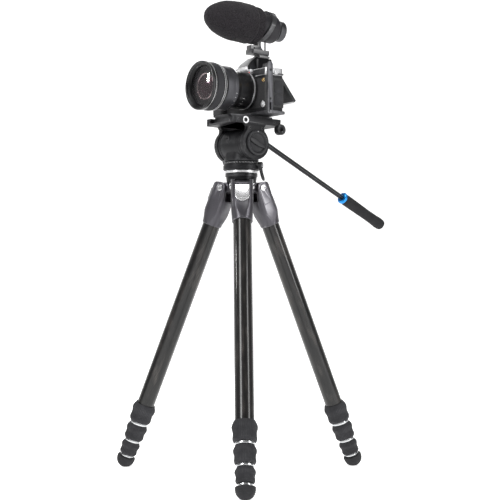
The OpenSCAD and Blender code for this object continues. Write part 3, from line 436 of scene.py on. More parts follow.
def ball_foot():
    """Half a ball below a short collar, with cosine grooves cut round the ball's upper part."""
    dip = np.linspace(np.pi / 2, 0, 40)
    radius = FOOT_RADIUS * np.cos(dip)
    height = -FOOT_CENTRE - FOOT_RADIUS * np.sin(dip)
    groove = sum(np.exp(-((dip - g) / 0.045) ** 2) for g in (0.18, 0.38, 0.58))
    radius = np.maximum(radius - 0.5 * groove, 0)
    collar = rounded([[FOOT_RADIUS, -FOOT_CENTRE], [FOOT_RADIUS, -FOOT_TOP], [TUBE_RADII[3], -FOOT_TOP]],
                     1.4, 4)
    profile = np.concatenate([np.stack([radius, height], 1)[:-1], collar, [[0, -FOOT_TOP]]])
    return turned_surface(profile, 96)


for i in LEGS:
    co, quads, uv = ball_foot()
    rows, origin = leg_frame(i)
    world_co = co @ rows + origin
    world_co[:, 2] = np.maximum(world_co[:, 2], 0.0)
    make_piece(f"ball_foot_{i}", [(world_co, quads, uv)], foot_rubber, f"section_4_{i}", None, (),
               crease=50)
    make_piece(f"carbon_tube_4_leg_{i}",
               [tube_shape(TUBE_RADII[3], TUBE_RUNS[3][0], FOOT_TOP - 0.2, TUBE_WALL)],
               carbon, f"section_4_{i}", leg_frame(i), f"foot_section_leg_{i}")

# ---- Leg castings and spider --------------------------------------------------------------------------
# Die-cast magnesium painted a satin gunmetal: a forked casting glued on each upper tube, and the spider
# whose three lugs the forks straddle. Castings are shown with their own rounded edges.
gunmetal = worn_and_lit_coat("gunmetal_paint", (0.080, 0.077, 0.087), 0.36, metal=0.75, grain=1700, bump=0.16,
                     mottle=0.10,
                     edge=(0.26, 0.255, 0.27), coat=0.15)


def soft_edged(node, name, material, body, width, corner=28, segments=3):
    """A copy of a CAD node with its doubled points merged and flat triangles joined, and every edge
    sharper than corner degrees given a round of that width in millimetres."""
    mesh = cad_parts[node].data.copy()
    mesh.name = name
    work = bmesh.new()
    work.from_mesh(mesh)
    bmesh.ops.remove_doubles(work, verts=work.verts, dist=2e-6)
    bmesh.ops.dissolve_limit(work, angle_limit=math.radians(1.2), verts=work.verts, edges=work.edges)
    work.to_mesh(mesh)
    work.free()
    mesh.materials.clear()
    mesh.materials.append(material)
    mesh.shade_smooth()
    piece = bpy.data.objects.new(name, mesh)
    scene.collection.objects.link(piece)
    edges = piece.modifiers.new("edge_rounds", "BEVEL")
    edges.width = width * 0.001
    edges.segments = segments
    edges.limit_method = "ANGLE"
    edges.angle_limit = math.radians(corner)
    edges.use_clamp_overlap = True
    edges.harden_normals = True
    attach(piece, body)
    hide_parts(node)
    return piece


for i in LEGS:
    soft_edged(f"shoulder_leg_{i}", f"casting_{i}", gunmetal, f"leg_{i}", 0.9, corner=24)
soft_edged("spider", "spider_casting", gunmetal, "frame", 0.8, corner=24)

# ---- Hinge bolts --------------------------------------------------------------------------------------
# Plated steel bolts through the forks, each end a low domed head with a hexagon socket.
plated = worn_and_lit_coat("plated_steel", (0.66, 0.66, 0.67), 0.22, metal=1.0, grain=700, bump=0.06, mottle=0.15)
socket_black = worn_and_lit_coat("socket_black", (0.02, 0.02, 0.021), 0.6, grain=900, bump=0.1)


def socket_head(radius, height, socket):
    """A domed screw head about +z: a hexagonal well of that half width, its rim joined to a round top."""
    n = 48
    angle = 2 * np.pi * np.arange(n) / n
    to_flat = (angle + np.pi / 6) % (np.pi / 3) - np.pi / 6
    hexagon = socket / np.cos(to_flat)
    rings = [(np.zeros(n), np.full(n, 0.25 * height)), (hexagon * 0.96, np.full(n, 0.25 * height)),
             (hexagon, np.full(n, 0.9 * height)), (hexagon + 0.25, np.full(n, height)),
             (np.full(n, radius * 0.82), np.full(n, height * 0.93)), (np.full(n, radius),
                                                                      np.full(n, height * 0.45)),
             (np.full(n, radius), np.zeros(n)), (np.zeros(n), np.zeros(n))]
    co = np.concatenate([np.stack([r * np.cos(angle), r * np.sin(angle), z], 1) for r, z in rings])
    j, k = np.meshgrid(np.arange(len(rings) - 1), np.arange(n), indexing="ij")
    quads = np.stack([j * n + k, (j + 1) * n + k, (j + 1) * n + (k + 1) % n, j * n + (k + 1) % n], -1)
    return co, quads.reshape(-1, 4), None


def set_at(shape, frame_rows):
    """The shape turned and moved by (rows, origin)."""
    co, polygons, *uv = shape
    return (np.asarray(co, float) @ frame_rows[0] + frame_rows[1], polygons, *uv)


bolt_parts = []
for i in LEGS:
    rows, origin = leg_frame(i)
    for side in (-1, 1):
        bolt_parts.append(set_at(socket_head(5.2, 1.8, 2.0),
                                 axis_frame(origin + side * 18.1 * rows[1], side * rows[1])))
    bolt_parts.append(set_at(turned_surface([[0, -18.1], [4.0, -18.1], [4.0, 18.1], [0, 18.1]], 48),
                             axis_frame(origin, rows[1])))
make_piece("hinge_bolts", bolt_parts, plated, "frame", None, "hinge_pins")

# ---- Stop tabs ----------------------------------------------------------------------------------------
# Bright plated tongues in the outer face of each casting. A finger lip at the round lower end pulls the
# tab out so that the leg can open to its wider stops.
TAB_TOP, TAB_LONG, TAB_HALF = -6.4, 29.6, 11.3
TAB_ROUND = TAB_TOP - TAB_LONG + TAB_HALF


def capped_prism(outline, stations):
    """A closed prism: outline is (across, up) points, and each station is (height, inset), where inset
    moves every point inwards along the mean normal of its two sides. Both ends are closed by one face."""
    p = np.array(outline, float)
    area = np.sum(p[:, 0] * np.roll(p[:, 1], -1) - np.roll(p[:, 0], -1) * p[:, 1])
    p = p if area > 0 else p[::-1]
    before, after = p - np.roll(p, 1, 0), np.roll(p, -1, 0) - p
    before = before / np.maximum(np.linalg.norm(before, axis=1, keepdims=True), 1e-9)
    after = after / np.maximum(np.linalg.norm(after, axis=1, keepdims=True), 1e-9)
    tangent = before + after
    tangent = tangent / np.maximum(np.linalg.norm(tangent, axis=1, keepdims=True), 1e-9)
    inward = np.stack([-tangent[:, 1], tangent[:, 0]], 1)
    mitre = 1 / np.maximum(np.sum(tangent * after, 1), 0.5)[:, None]
    n = len(p)
    co = np.concatenate([np.column_stack([p + inward * mitre * inset, np.full(n, z)]) for z,
                         inset in stations])
    j, k = np.meshgrid(np.arange(len(stations) - 1), np.arange(n), indexing="ij")
    sides = np.stack([j * n + k, j * n + (k + 1) % n, (j + 1) * n + (k + 1) % n, (j + 1) * n + k],
                     -1).reshape(-1, 4)
    last = (len(stations) - 1) * n
    ends = [list(range(n - 1, -1, -1)), list(range(last, last + n))]
    return co, sides.tolist() + ends, None


def eased_ends(low, high, edge, steps=3):
    """Stations for a prism whose two rims are quarter circles of radius edge."""
    a = np.linspace(0, np.pi / 2, steps + 1)
    rise = [(low + edge * (1 - math.cos(t)), edge * (1 - math.sin(t))) for t in a]
    fall = [(high - edge * (1 - math.cos(t)), edge * (1 - math.sin(t))) for t in a[::-1]]
    return rise + fall


def corner_rounds(points, radius, steps=5):
    """A closed outline whose corners are quadratic curves that start and end radius from the corner."""
    p = np.array(points, float)
    r = np.broadcast_to(np.asarray(radius, float), (len(p),))[:, None]
    a, c = np.roll(p, 1, 0), np.roll(p, -1, 0)
    la, lc = np.linalg.norm(a - p, axis=1, keepdims=True), np.linalg.norm(c - p, axis=1, keepdims=True)
    cut = np.minimum(r, 0.48 * np.minimum(la, lc))
    s, e = p + (a - p) * cut / la, p + (c - p) * cut / lc
    t = np.linspace(0, 1, steps + 1)[None, :, None]
    return ((1 - t) ** 2 * s[:, None] + 2 * t * (1 - t) * p[:, None] + t ** 2 * e[:, None]).reshape(-1, 2)


def box_outline(x0, y0, x1, y1, radius, steps=6):
    """A rectangle with quarter-circle corners."""
    a = np.linspace(0, np.pi / 2, steps + 1)
    centres = [(x1 - radius, y0 + radius, -np.pi / 2), (x1 - radius, y1 - radius, 0),
               (x0 + radius, y1 - radius, np.pi / 2), (x0 + radius, y0 + radius, np.pi)]
    return np.concatenate([np.stack([cx + radius * np.cos(a + t), cy + radius * np.sin(a + t)], 1)
                           for cx, cy, t in centres])


around = np.linspace(np.pi, 2 * np.pi, 25)
tab_outline = np.concatenate([[[TAB_HALF, TAB_TOP], [-TAB_HALF, TAB_TOP]],
                              np.stack([TAB_HALF * np.cos(around), TAB_ROUND + TAB_HALF * np.sin(around)],
                                       1)])
below = np.linspace(1.22 * np.pi, 1.78 * np.pi, 19)
lip_outline = np.stack([TAB_HALF * np.cos(below), TAB_ROUND + TAB_HALF * np.sin(below)], 1)
tab_plate = worn_and_lit_coat("tab_plate", (0.86, 0.86, 0.87), 0.20, metal=0.9, grain=500, bump=0.05, mottle=0.08)
for i in LEGS:
    rows, origin = leg_frame(i)
    outwards = (np.array([rows[1], rows[2], rows[0]]), origin)
    parts = [set_at(capped_prism(tab_outline, eased_ends(15.85, 18.2, 0.45)), outwards),
             set_at(capped_prism(lip_outline, eased_ends(17.9, 21.0, 0.5)), outwards),
             set_at(capped_prism(box_outline(-11.3, -13.4, 11.3, -6.4, 0.5, 2),
                                 eased_ends(10.4, 16.2, 0.4)), outwards)]
    make_piece(f"pull_tab_{i}", parts, tab_plate, f"tab_{i}", None, f"stop_tab_leg_{i}")

# ---- Levelling base -----------------------------------------------------------------------------------
# A turned ball in a black anodised bowl seated in the spider. The flange above the ball has a bright
# machined rim; underneath, a rubber-covered grip on a stud clamps the ball through a washer.
BALL_HEIGHT, BALL_RADIUS, BOWL_RADIUS = 483.302, 20.5, 24.9
FLANGE_TOP = 493.602
PAN_AXIS = (np.eye(3), np.zeros(3))
black_anodised = worn_and_lit_coat("black_anodised", (0.013, 0.013, 0.0145), 0.36, metal=0.6, grain=1500, bump=0.10,
                           mottle=0.25, edge=(0.16, 0.16, 0.165))
machined_rim = worn_and_lit_coat("machined_rim", (0.80, 0.80, 0.81), 0.30, metal=0.75, grain=500, bump=0.05,
                         mottle=0.12)


def arc_run(radius, height, a0, a1, count):
    """Points of a circle of that radius about (0, height), from angle a0 to a1 above the horizontal."""
    a = np.linspace(a0, a1, count)
    return np.stack([radius * np.cos(a), height + radius * np.sin(a)], 1)


bowl_low = -math.acos(14 / BOWL_RADIUS)
bowl = np.concatenate([[[9.6, 459.1], [13.4, 459.1], [14.0, 459.7]],
                       arc_run(BOWL_RADIUS, BALL_HEIGHT, bowl_low, -0.02, 22),
                       [[BOWL_RADIUS - 0.1, 484.0], [BOWL_RADIUS - 0.5, 484.3], [21.2, 484.3],
                        [20.9, 484.0]],
                       arc_run(20.9, BALL_HEIGHT, -0.02, -1.09, 16), [[9.6, 464.6], [9.6, 459.1]]])
bowl_screws = [set_at(socket_head(2.0, 1.0, 0.9), axis_frame(
    (23.45 * math.cos(a), 23.45 * math.sin(a), 477.6), (math.cos(a), math.sin(a), -0.24)))
    for a in np.radians([23.5, 143.5, 263.5])]
make_piece("level_bowl_shell", [turned_surface(bowl, 96)], black_anodised, "frame", None, "level_bowl")
make_piece("level_bowl_screws", bowl_screws, socket_black, "frame", None, ())
# The flange is hollow underneath, a sphere's shape, so that the tilted ball's skirt clears the bowl.
HOLLOW_RADIUS, HOLLOW_ROOF = 25.4, 491.5
ball_run = arc_run(BALL_RADIUS, BALL_HEIGHT, -0.857,
                   math.asin((HOLLOW_ROOF + 0.1 - BALL_HEIGHT) / BALL_RADIUS), 20)
hollow = arc_run(HOLLOW_RADIUS, BALL_HEIGHT, math.asin((HOLLOW_ROOF - BALL_HEIGHT) / HOLLOW_RADIUS),
                 math.asin((484.1 - BALL_HEIGHT) / HOLLOW_RADIUS), 8)
skirt = np.concatenate([hollow[-1:], [[26.2, 484.1], [26.4, 484.4], [26.4, 488.4], [26.0, 488.8],
                                      [26.0, HOLLOW_ROOF + 0.1], [18.0, HOLLOW_ROOF + 0.1], [18.0,
                                                                                             HOLLOW_ROOF]],
                        hollow])
make_piece("level_ball_body",
           [turned_surface(np.concatenate([[[0, 467.8]], ball_run, [[0, HOLLOW_ROOF + 0.1]]]), 72),
                               turned_surface(skirt, 96)],
           black_anodised, "ball", None, "level_ball")
rim = rounded([[0, HOLLOW_ROOF + 0.05], [25.9, HOLLOW_ROOF + 0.05], [25.9, 489.4], [26.6, 489.4],
               [27.2, 490.0],
               [27.2, 491.3], [26.8, 491.5], [27.2, 491.7], [27.2, 493.0], [26.6, 493.6], [0,
                                                                                           493.6]], 0.2, 2)
make_piece("level_flange_rim", [turned_surface(rim, 120)], machined_rim, "ball", None, ())
make_piece("clamp_washer_ring", [turned_surface(rounded(
    [[10.4, 458.7], [10.4, 456.3], [12.9, 456.3], [13.4, 456.9], [13.4, 458.2], [12.9, 458.7],
     [10.4, 458.7]],
    0.3, 2), 72)], plated, "washer", None, "clamp_washer")

grip_rubber = worn_and_lit_coat("grip_rubber", (0.020, 0.020, 0.022), 0.68, grain=1300, bump=0.3, mottle=0.3,
                        edge=(0.09, 0.09, 0.09))
handle = rounded([[0, 394.3], [8.0, 394.3], [10.0, 396.3], [10.0, 444.0], [9.2, 445.0], [9.2, 446.0],
                  [10, 447.0],
                  [10.0, 449.3], [7.0, 452.3], [0, 452.3]], 0.6, 3)
make_piece("level_grip_sleeve", [turned_surface(handle, 120, grip_ribs(20, 0.7, 398, 443))], grip_rubber,
           "grip",
           None, "level_handle", crease=50)


def ring_tube(radius, wire, centre, normal, count=64, around=16):
    """A closed ring: a circle of radius wire carried round a circle of that radius about the centre."""
    a = (2 * np.pi * np.arange(count) / count)[:, None]
    b = (2 * np.pi * np.arange(around) / around)[None]
    r = radius + wire * np.cos(b)
    co = np.stack(np.broadcast_arrays(r * np.cos(a), r * np.sin(a), wire * np.sin(b)), -1).reshape(-1, 3)
    i, j = np.meshgrid(np.arange(count), np.arange(around), indexing="ij")
    k, m = (i + 1) % count, (j + 1) % around
    quads = np.stack([i * around + j, k * around + j, k * around + m, i * around + m], -1).reshape(-1, 4)
    return set_at((co, quads, None), axis_frame(centre, normal))


make_piece("bag_hook_ring", [ring_tube(8.5, 1.6, (0, 0, 386.8), (0, 1, 0)),
                             turned_surface([[0, 450], [2.6, 450], [2.6, 485], [0, 485]], 32)],
           plated, "grip", None, ())

# ---- Pan base -----------------------------------------------------------------------------------------
# The fixed half of the pan bearing: a turned black ring with a fine degree scale round its upper edge
# and a small lever at the side that locks it.
head_black = worn_and_lit_coat("head_black", (0.014, 0.014, 0.0155), 0.44, metal=0.35, grain=1800, bump=0.20,
                       mottle=0.22,
                       edge=(0.14, 0.14, 0.145))
scale_white = worn_and_lit_coat("scale_white", (0.62, 0.62, 0.62), 0.6, grain=900, bump=0.05, mottle=0.1)
base_run = rounded([[0, FLANGE_TOP], [27.6, FLANGE_TOP], [28.6, 494.6], [29.7, 495.4], [29.7, 501.6],
                    [29.3, 501.9],
                    [29.3, 502.5], [28.5, 503.4], [28.5, 508.0], [28.0, 508.5], [0, 508.5]], 0.35, 3)
make_piece("pan_base_ring", [turned_surface(base_run, 144)], head_black, "ball", None, "pan_base")


def tick_ring(radius, height, count, long_every, short, long, wide, axis_rows=PAN_AXIS, arc=(0, 360)):
    """Fine raised marks round a cylinder: boxes as wide as given, short or long along the axis, standing
    0.05 mm out of the surface."""
    angle = np.radians(np.linspace(arc[0], arc[1], count, endpoint=arc[1] - arc[0] < 360))[:, None]
    half = np.where(np.arange(count) % long_every == 0, long, short)[:, None] / 2
    corner = np.array([[-1, -1, 0], [1, -1, 0], [1, 1, 0], [-1, 1, 0], [-1, -1, 1], [1, -1, 1], [1, 1, 1],
                       [-1, 1, 1]])
    turn = angle + corner[None, :, 0] * wide / 2 / radius
    r = radius - 0.15 + corner[None, :, 2] * 0.2
    co = np.stack([r * np.cos(turn), r * np.sin(turn), height + corner[None, :, 1] * half],
                  -1).reshape(-1, 3)
    box = np.array([[0, 3, 2, 1], [4, 5, 6, 7], [0, 1, 5, 4], [1, 2, 6, 5], [2, 3, 7, 6], [3, 0, 4, 7]])
    quads = (box[None] + 8 * np.arange(count)[:, None, None]).reshape(-1, 4)
    return set_at((co, quads, None), axis_rows)


make_piece("pan_scale", [tick_ring(28.5, 505.9, 72, 6, 1.4, 2.6, 0.35)], scale_white, "ball", None, ())

lever_plastic = worn_and_lit_coat("lever_plastic", (0.018, 0.018, 0.020), 0.42, grain=1500, bump=0.15, mottle=0.2,
                          edge=(0.10, 0.10, 0.10))


def swept_lever(path, widths, depths, wide_way):
    """A lever: ellipses carried along a path, each given by a half width along wide_way and a half depth
    square to that and to the path. Both ends are closed by a flat face across the end ellipse."""
    p = np.array(path, float)
    t = np.gradient(p, axis=0)
    t = t / np.linalg.norm(t, axis=1, keepdims=True)
    w = np.array(wide_way, float)[None] - t * (t @ np.array(wide_way, float))[:, None]
    w = w / np.linalg.norm(w, axis=1, keepdims=True)
    d = np.cross(t, w)
    n = 28
    a = (2 * np.pi * np.arange(n) / n)[None, :, None]
    flat = np.sign(np.cos(a)) * np.abs(np.cos(a)) ** 0.7, np.sign(np.sin(a)) * np.abs(np.sin(a)) ** 0.7
    ring = p[:, None] + flat[0] * np.array(widths)[:, None, None] * w[:, None] \
        + flat[1] * np.array(depths)[:, None, None] * d[:, None]
    m = len(p)
    i, j = np.meshgrid(np.arange(m - 1), np.arange(n), indexing="ij")
    k = (j + 1) % n
    quads = np.stack([i * n + j, i * n + k, (i + 1) * n + k, (i + 1) * n + j], -1).reshape(-1, 4).tolist()
    ends = [list(range(n)), list(range((m - 1) * n, m * n))]
    return ring.reshape(-1, 3), quads + ends, None


turn = math.radians(28)
side = np.array([math.cos(turn), math.sin(turn), 0])
pivot = np.array([26.577, 14.131, 501.802])
hub = set_at(turned_surface(rounded([[0, 0.2], [5.0, 0.2], [5.6, 0.8], [5.6, 6.0], [4.6, 7.0], [0, 7.0]],
                                    0.6, 3), 48),
             axis_frame(pivot, side))
reach = np.linspace(0, 1, 14)
down = pivot + side * 3.6
blade_path = down + np.outer(reach, [0, 0, -25.2]) + np.outer(reach ** 1.6 * 6.0, side)
blade_wide = 3.9 * np.array([0.75, 0.8, 0.85, 0.9, 0.93, 0.95, 0.97, 0.99, 1.0, 1.0, 0.99, 0.93, 0.78,
                             0.40])
blade_deep = 2.6 * np.array([1.0, 0.98, 0.95, 0.92, 0.9, 0.88, 0.86, 0.86, 0.86, 0.88, 0.88, 0.84, 0.7,
                             0.35])
across = np.array([-side[1], side[0], 0])
make_piece("pan_lever_blade", [hub, swept_lever(blade_path, blade_wide, blade_deep, across)], lever_plastic,
           "pan_lever", None, "pan_lock_lever", crease=45)
make_piece("pan_lever_screw", [set_at(socket_head(2.6, 0.7, 1.2), axis_frame(pivot + side * 6.6, side))],
           plated,
           "pan_lever", None, ())

# ---- Fluid drum ---------------------------------------------------------------------------------------
# The cast housing of the tilt cartridge turns on the pan base. Its drum lies across between the arms,
# ribbed by two turned grooves near each end, with a capped filling boss in front.
TILT_HEIGHT = 536.102
TILT_AXIS = axis_frame((0, 0, TILT_HEIGHT), (1, 0, 0), (0, 1, 0))
drum_half = [[0, 0], [21.0, 0], [25.0, 0.4], [25.8, 1.4], [25.8, 5.0], [25.1, 5.6], [25.1, 6.6],
             [25.8, 7.2]]
half = np.array(drum_half)
drum_run = np.concatenate([np.column_stack([half[:, 0], -30 + half[:, 1]]),
                           np.column_stack([half[:, 0], 30 - half[:, 1]])[::-1]])
neck_outline = corner_rounds([[-28.2, -13], [-15, -25.6], [15, -25.6], [28.2, -13], [28.2, 13], [15, 25.6],
                              [-15, 25.6], [-28.2, 13]], 9, 6)
neck = capped_prism(neck_outline * 0.985, [(508.95, 1.0), (509.4, 0.3), (511.0, 0.0), (514, 0.6),
                                           (520, 2.4),
                                           (527, 3.2), (536, 3.2)])
boss = set_at(turned_surface(rounded([[0, 20], [5.6, 20], [5.6, 26.2], [5.0, 26.8], [3.4, 26.8],
                                      [3.4, 26.2],
                                       [0, 26.2]], 0.3, 2), 48),
               axis_frame((-5.0, 0, TILT_HEIGHT), (0, -math.cos(0.36), math.sin(0.36))))
make_piece("tilt_drum", [set_at(turned_surface(rounded(drum_run, 0.4, 2), 128), TILT_AXIS), neck, boss],
           head_black, "head", None, "head_housing", crease=40)
make_piece("drum_boss_cap", [set_at(socket_head(3.2, 0.9, 1.4), axis_frame(
    (-5.0, -26.0 * math.cos(0.36), TILT_HEIGHT + 26.0 * math.sin(0.36)), (0, -math.cos(0.36),
                                                                          math.sin(0.36))))],
    head_black, "head", None, ())
bubble_green = worn_and_lit_coat("bubble_green", (0.55, 0.72, 0.16), 0.10, grain=300, bump=0.02, mottle=0.1,
                         coat=1.0)
vial_frame = axis_frame((-20.5, -14.6, 516.0), (-0.62, -0.60, 0.50))
make_piece("bubble_level",
           [set_at(turned_surface(rounded([[0, -6], [5.0, -6], [5.0, 0.6], [4.4, 1.1], [3.7, 1.1],
                                                           [3.7, 0.5], [0,
                                                                        0.5]], 0.25, 2), 48), vial_frame)],
           machined_rim, "head", None, ())
make_piece("bubble_vial",
           [set_at(turned_surface([[0, 0.2], [3.6, 0.2], [3.2, 0.9], [1.8, 1.35], [0, 1.5]], 40),
                   vial_frame)],
           bubble_green, "head", None, ())

# ---- Tilting platform ---------------------------------------------------------------------------------
# Cast and machined cradle: two round arms on the tilt axle carry the grooved bed in which the camera
# plate slides. A ringed accessory thread is in its near side and toothed lugs stand behind.
soft_edged("platform", "platform_casting", head_black, "cradle", 0.7, corner=24)
NEAR = (1, 0, 0)
ring = rounded([[3.3, -0.8], [5.9, -0.8], [5.9, 0.5], [5.5, 0.8], [4.0, 0.8], [3.3, 0.2], [3.3, -0.8]],
               0.15, 2)
make_piece("accessory_ring", [set_at(turned_surface(ring, 64), axis_frame((38.5, -21, 572.1), NEAR))],
           machined_rim, "cradle", None, ())
make_piece("accessory_well", [set_at(turned_surface([[0, -1.2], [3.3, -1.2], [3.3, -1.0], [0, -1.0]], 32),
                                     axis_frame((38.5, -21, 572.1),
                                                NEAR))], socket_black, "cradle", None, ())


def toothed_face(radius, hole, teeth, rise, base):
    """A rosette: an annulus whose height is a triangle wave round the circle, rising towards its rim,
    on a short cylinder that reaches base below it."""
    n = teeth * 4
    a = 2 * np.pi * np.arange(n) / n
    saw = np.abs((np.arange(n) % 4) - 2) / 2
    rings = [(hole, np.full(n, base)), (hole, np.zeros(n)), (radius * 0.6, rise * 0.45 * saw),
             (radius, rise * saw),
             (radius, np.full(n, -0.4)), (radius, np.full(n, base))]
    co = np.concatenate([np.stack([r * np.cos(a), r * np.sin(a), z], 1) for r, z in rings])
    j, k = np.meshgrid(np.arange(len(rings)), np.arange(n), indexing="ij")
    nj = (j + 1) % len(rings)
    return co, np.stack([j * n + k, nj * n + k, nj * n + (k + 1) % n, j * n + (k + 1) % n],
                        -1).reshape(-1, 4), None


make_piece("lug_rosette_near",
           [set_at(toothed_face(7.4, 3.2, 36, 0.7, -1.5), axis_frame((42.2, 50, 561.1), NEAR))],
           black_anodised, "cradle", None, (), crease=20)
arm_screws = [set_at(socket_head(2.3, 0.8, 1.1), axis_frame((38.3, y, z), NEAR))
              for y, z in ((-12.5, 560.5), (12.5, 560.5))]
bed_screws = [set_at(socket_head(2.2, 0.6, 1.1), axis_frame((38.3, y, 572.1), NEAR)) for y in (-36, 38)]
make_piece("platform_screws", arm_screws + bed_screws, black_anodised, "cradle", None, ())

# ---- Drag dial and locks ------------------------------------------------------------------------------
# Moulded controls of the head: a dished tilt-drag dial with a finger bar on the near arm, a flat lever
# on the far arm, and ribbed knobs that clamp the camera plate and the pan bar.
dial_rows = axis_frame((38.8, 0, TILT_HEIGHT), NEAR, (0, 1, 0))
dish = rounded([[0, 0], [19.4, 0], [20.0, 0.6], [20.0, 3.9], [19.0, 5.0], [16.9, 5.0], [15.9, 3.8],
                [15.2, 2.3],
                [13.5, 1.9], [0, 1.7]], 0.5, 3)
finger_notches = grip_ribs(60, 0.35, 0.6, 3.9)
bar_turn = math.radians(-22)
bar_shape = corner_rounds([[-16.2, -2.6], [-6, -4.3], [6, -4.3], [16.2, -2.6], [16.2, 2.6], [6, 4.3],
                           [-6, 4.3],
                           [-16.2, 2.6]], 2.2, 4)
spun = np.stack([bar_shape[:, 0] * math.cos(bar_turn) - bar_shape[:, 1] * math.sin(bar_turn),
                 bar_shape[:, 0] * math.sin(bar_turn) + bar_shape[:, 1] * math.cos(bar_turn)], 1)
make_piece("drag_dial", [set_at(turned_surface(dish, 240, finger_notches), dial_rows),
                         set_at(capped_prism(spun, eased_ends(1.0, 4.9, 1.0)), dial_rows)],
           lever_plastic, "drag_knob", None, "tilt_drag_knob", crease=40)
make_piece("drag_dial_mark",
           [set_at(capped_prism(box_outline(-0.45, 17.3, 0.45, 18.9, 0.2, 2), [(4.7, 0), (5.05, 0)]),
                   dial_rows)],
           scale_white, "drag_knob", None, ())
soft_edged("tilt_lock_lever", "tilt_lever_body", lever_plastic, "tilt_lever", 1.2)
far_rows = axis_frame((-38.9, 5, 572.102), (-1, 0, 0), (0, 1, 0))
knob_run = rounded([[0, -7], [3.0, -7], [3.0, 0.2], [6.0, 0.2], [6.0, 4.0], [9.0, 4.2], [10.0, 5.2],
                    [10.0, 12.0],
                    [9.0, 13.0], [6.0, 13.0], [5.4, 12.4], [0, 12.4]], 0.5, 3)
make_piece("plate_knob_body",
           [set_at(turned_surface(knob_run, 168, grip_ribs(14, 0.9, 4.6, 12.6)), far_rows)],
           lever_plastic, "plate_knob", None, "plate_lock_knob", crease=45)

# ---- Camera plate -------------------------------------------------------------------------------------
# Extruded quick-release plate with bevelled flanks, a ribbed rubber pad on top and the camera screw
# held in its slot.
soft_edged("quick_plate", "sliding_plate", black_anodised, "plate", 0.5)

# ---- Pan bar ------------------------------------------------------------------------------------------
# A black anodised tube held by a toothed clamp behind the platform's far side. A blue anodised collar
# closes the end of its foam-rubber handle.
BAR_TILT = math.radians(-25.6)
bar_way = np.array([0, math.cos(BAR_TILT), math.sin(BAR_TILT)])
bar_up = np.array([0, -math.sin(BAR_TILT), math.cos(BAR_TILT)])
bar_start = np.array([-44.5, 50, 561.102]) + np.array([-6.5, 0, 0]) + 8 * bar_up
bar_rows = axis_frame(bar_start, bar_way, (1, 0, 0))
soft_edged("pan_bar", "pan_bar_clamp", black_anodised, "bar", 0.6)
blue_anodised = worn_and_lit_coat("blue_anodised", (0.012, 0.26, 0.70), 0.26, metal=0.9, grain=700, bump=0.06,
                          mottle=0.12,
                          coat=0.4)
collar_run = rounded([[0, 237.0], [8.6, 237.0], [10.6, 239.0], [10.6, 243.0], [9.8, 244.0], [0, 244.0]],
                     0.5, 3)
make_piece("bar_collar", [set_at(turned_surface(collar_run, 120, grip_ribs(40, 0.25, 239.4, 242.8)),
                                 bar_rows)],
           blue_anodised, "bar", None, "bar_ring", crease=45)
handle_foam = worn_and_lit_coat("handle_foam", (0.018, 0.018, 0.0195), 0.86, grain=1100, bump=0.6, mottle=0.4,
                        depth=0.0004)
handle_run = rounded([[0, 244.05], [9.3, 244.05], [9.9, 246.0], [9.95, 252.0], [9.7, 275], [9.2, 306.4],
                      [9.5, 325],
                      [10.2, 336.0], [10.0, 342], [9.0, 346.2], [6.6, 348.0], [0, 348.0]], 2.0, 4)
make_piece("bar_handle", [set_at(turned_surface(handle_run, 96), bar_rows)], handle_foam, "bar", None,
           "bar_grip",
           crease=50)
clamp_rows = axis_frame((-57.9, 50, 561.102), (-1, 0, 0), (0, 1, 0))
wing_run = rounded([[0, -18.6], [2.9, -18.6], [2.9, 0.2], [7.0, 0.2], [9.5, 4.0], [9.5, 12.0], [8.0, 14.0],
                    [0, 14.0]],
                   0.8, 3)
make_piece("clamp_knob_body",
           [set_at(turned_surface(wing_run, 144, grip_ribs(9, 1.1, 3.2, 13.0)), clamp_rows)],
           lever_plastic, "bar_knob", None, "bar_clamp_knob", crease=45)

# ---- Camera bracket -----------------------------------------------------------------------------------
# Satin grey aluminium L bracket: a base plate between camera and quick-release plate, and an upright
# beside the connector side whose foot is forked round its clamping screw.
grey_anodised = worn_and_lit_coat("grey_anodised", (0.085, 0.085, 0.092), 0.44, metal=0.85, grain=1200, bump=0.08,
                          mottle=0.12, edge=(0.40, 0.40, 0.41), streak=(1, 1, 0.12))
base_plate = capped_prism(box_outline(-42, 7, 62.5, 42, 4), eased_ends(582.95, 587.85, 0.7))
upright_side = corner_rounds([[5.4, 583.4], [8.9, 583.4], [8.9, 600.0], [12.1, 600.0], [12.1, 583.4],
                              [15.6, 583.4],
                              [15.6, 662.0], [12.6, 666.6], [8.4, 666.6], [5.4, 662.0]], 1.0, 4)
side_rows = (np.array([[0, 1.0, 0], [0, 0, 1.0], [1.0, 0, 0]]), np.zeros(3))
upright = set_at(capped_prism(upright_side, eased_ends(57.7, 62.3, 0.8)), side_rows)
make_piece("bracket_plate", [base_plate, upright], grey_anodised, "plate", None, "bracket")
make_piece("bracket_screws", [set_at(socket_head(1.9, 0.7, 0.9), axis_frame((62.2, 10.5, z), NEAR))
                              for z in (606.0, 652.0)], socket_black, "plate", None, ())

# ---- Camera body --------------------------------------------------------------------------------------
# Magnesium body with a black base and a pebbled leatherette covering glued round it and round the hand
# grip. The connector doors, a focus lever, a flash socket and a strap lug are on the near side.
LENS_HEIGHT = 625.402
body_black = worn_and_lit_coat("body_black", (0.014, 0.014, 0.0155), 0.42, metal=0.2, grain=1700, bump=0.14,
                       mottle=0.2,
                       edge=(0.13, 0.13, 0.135))

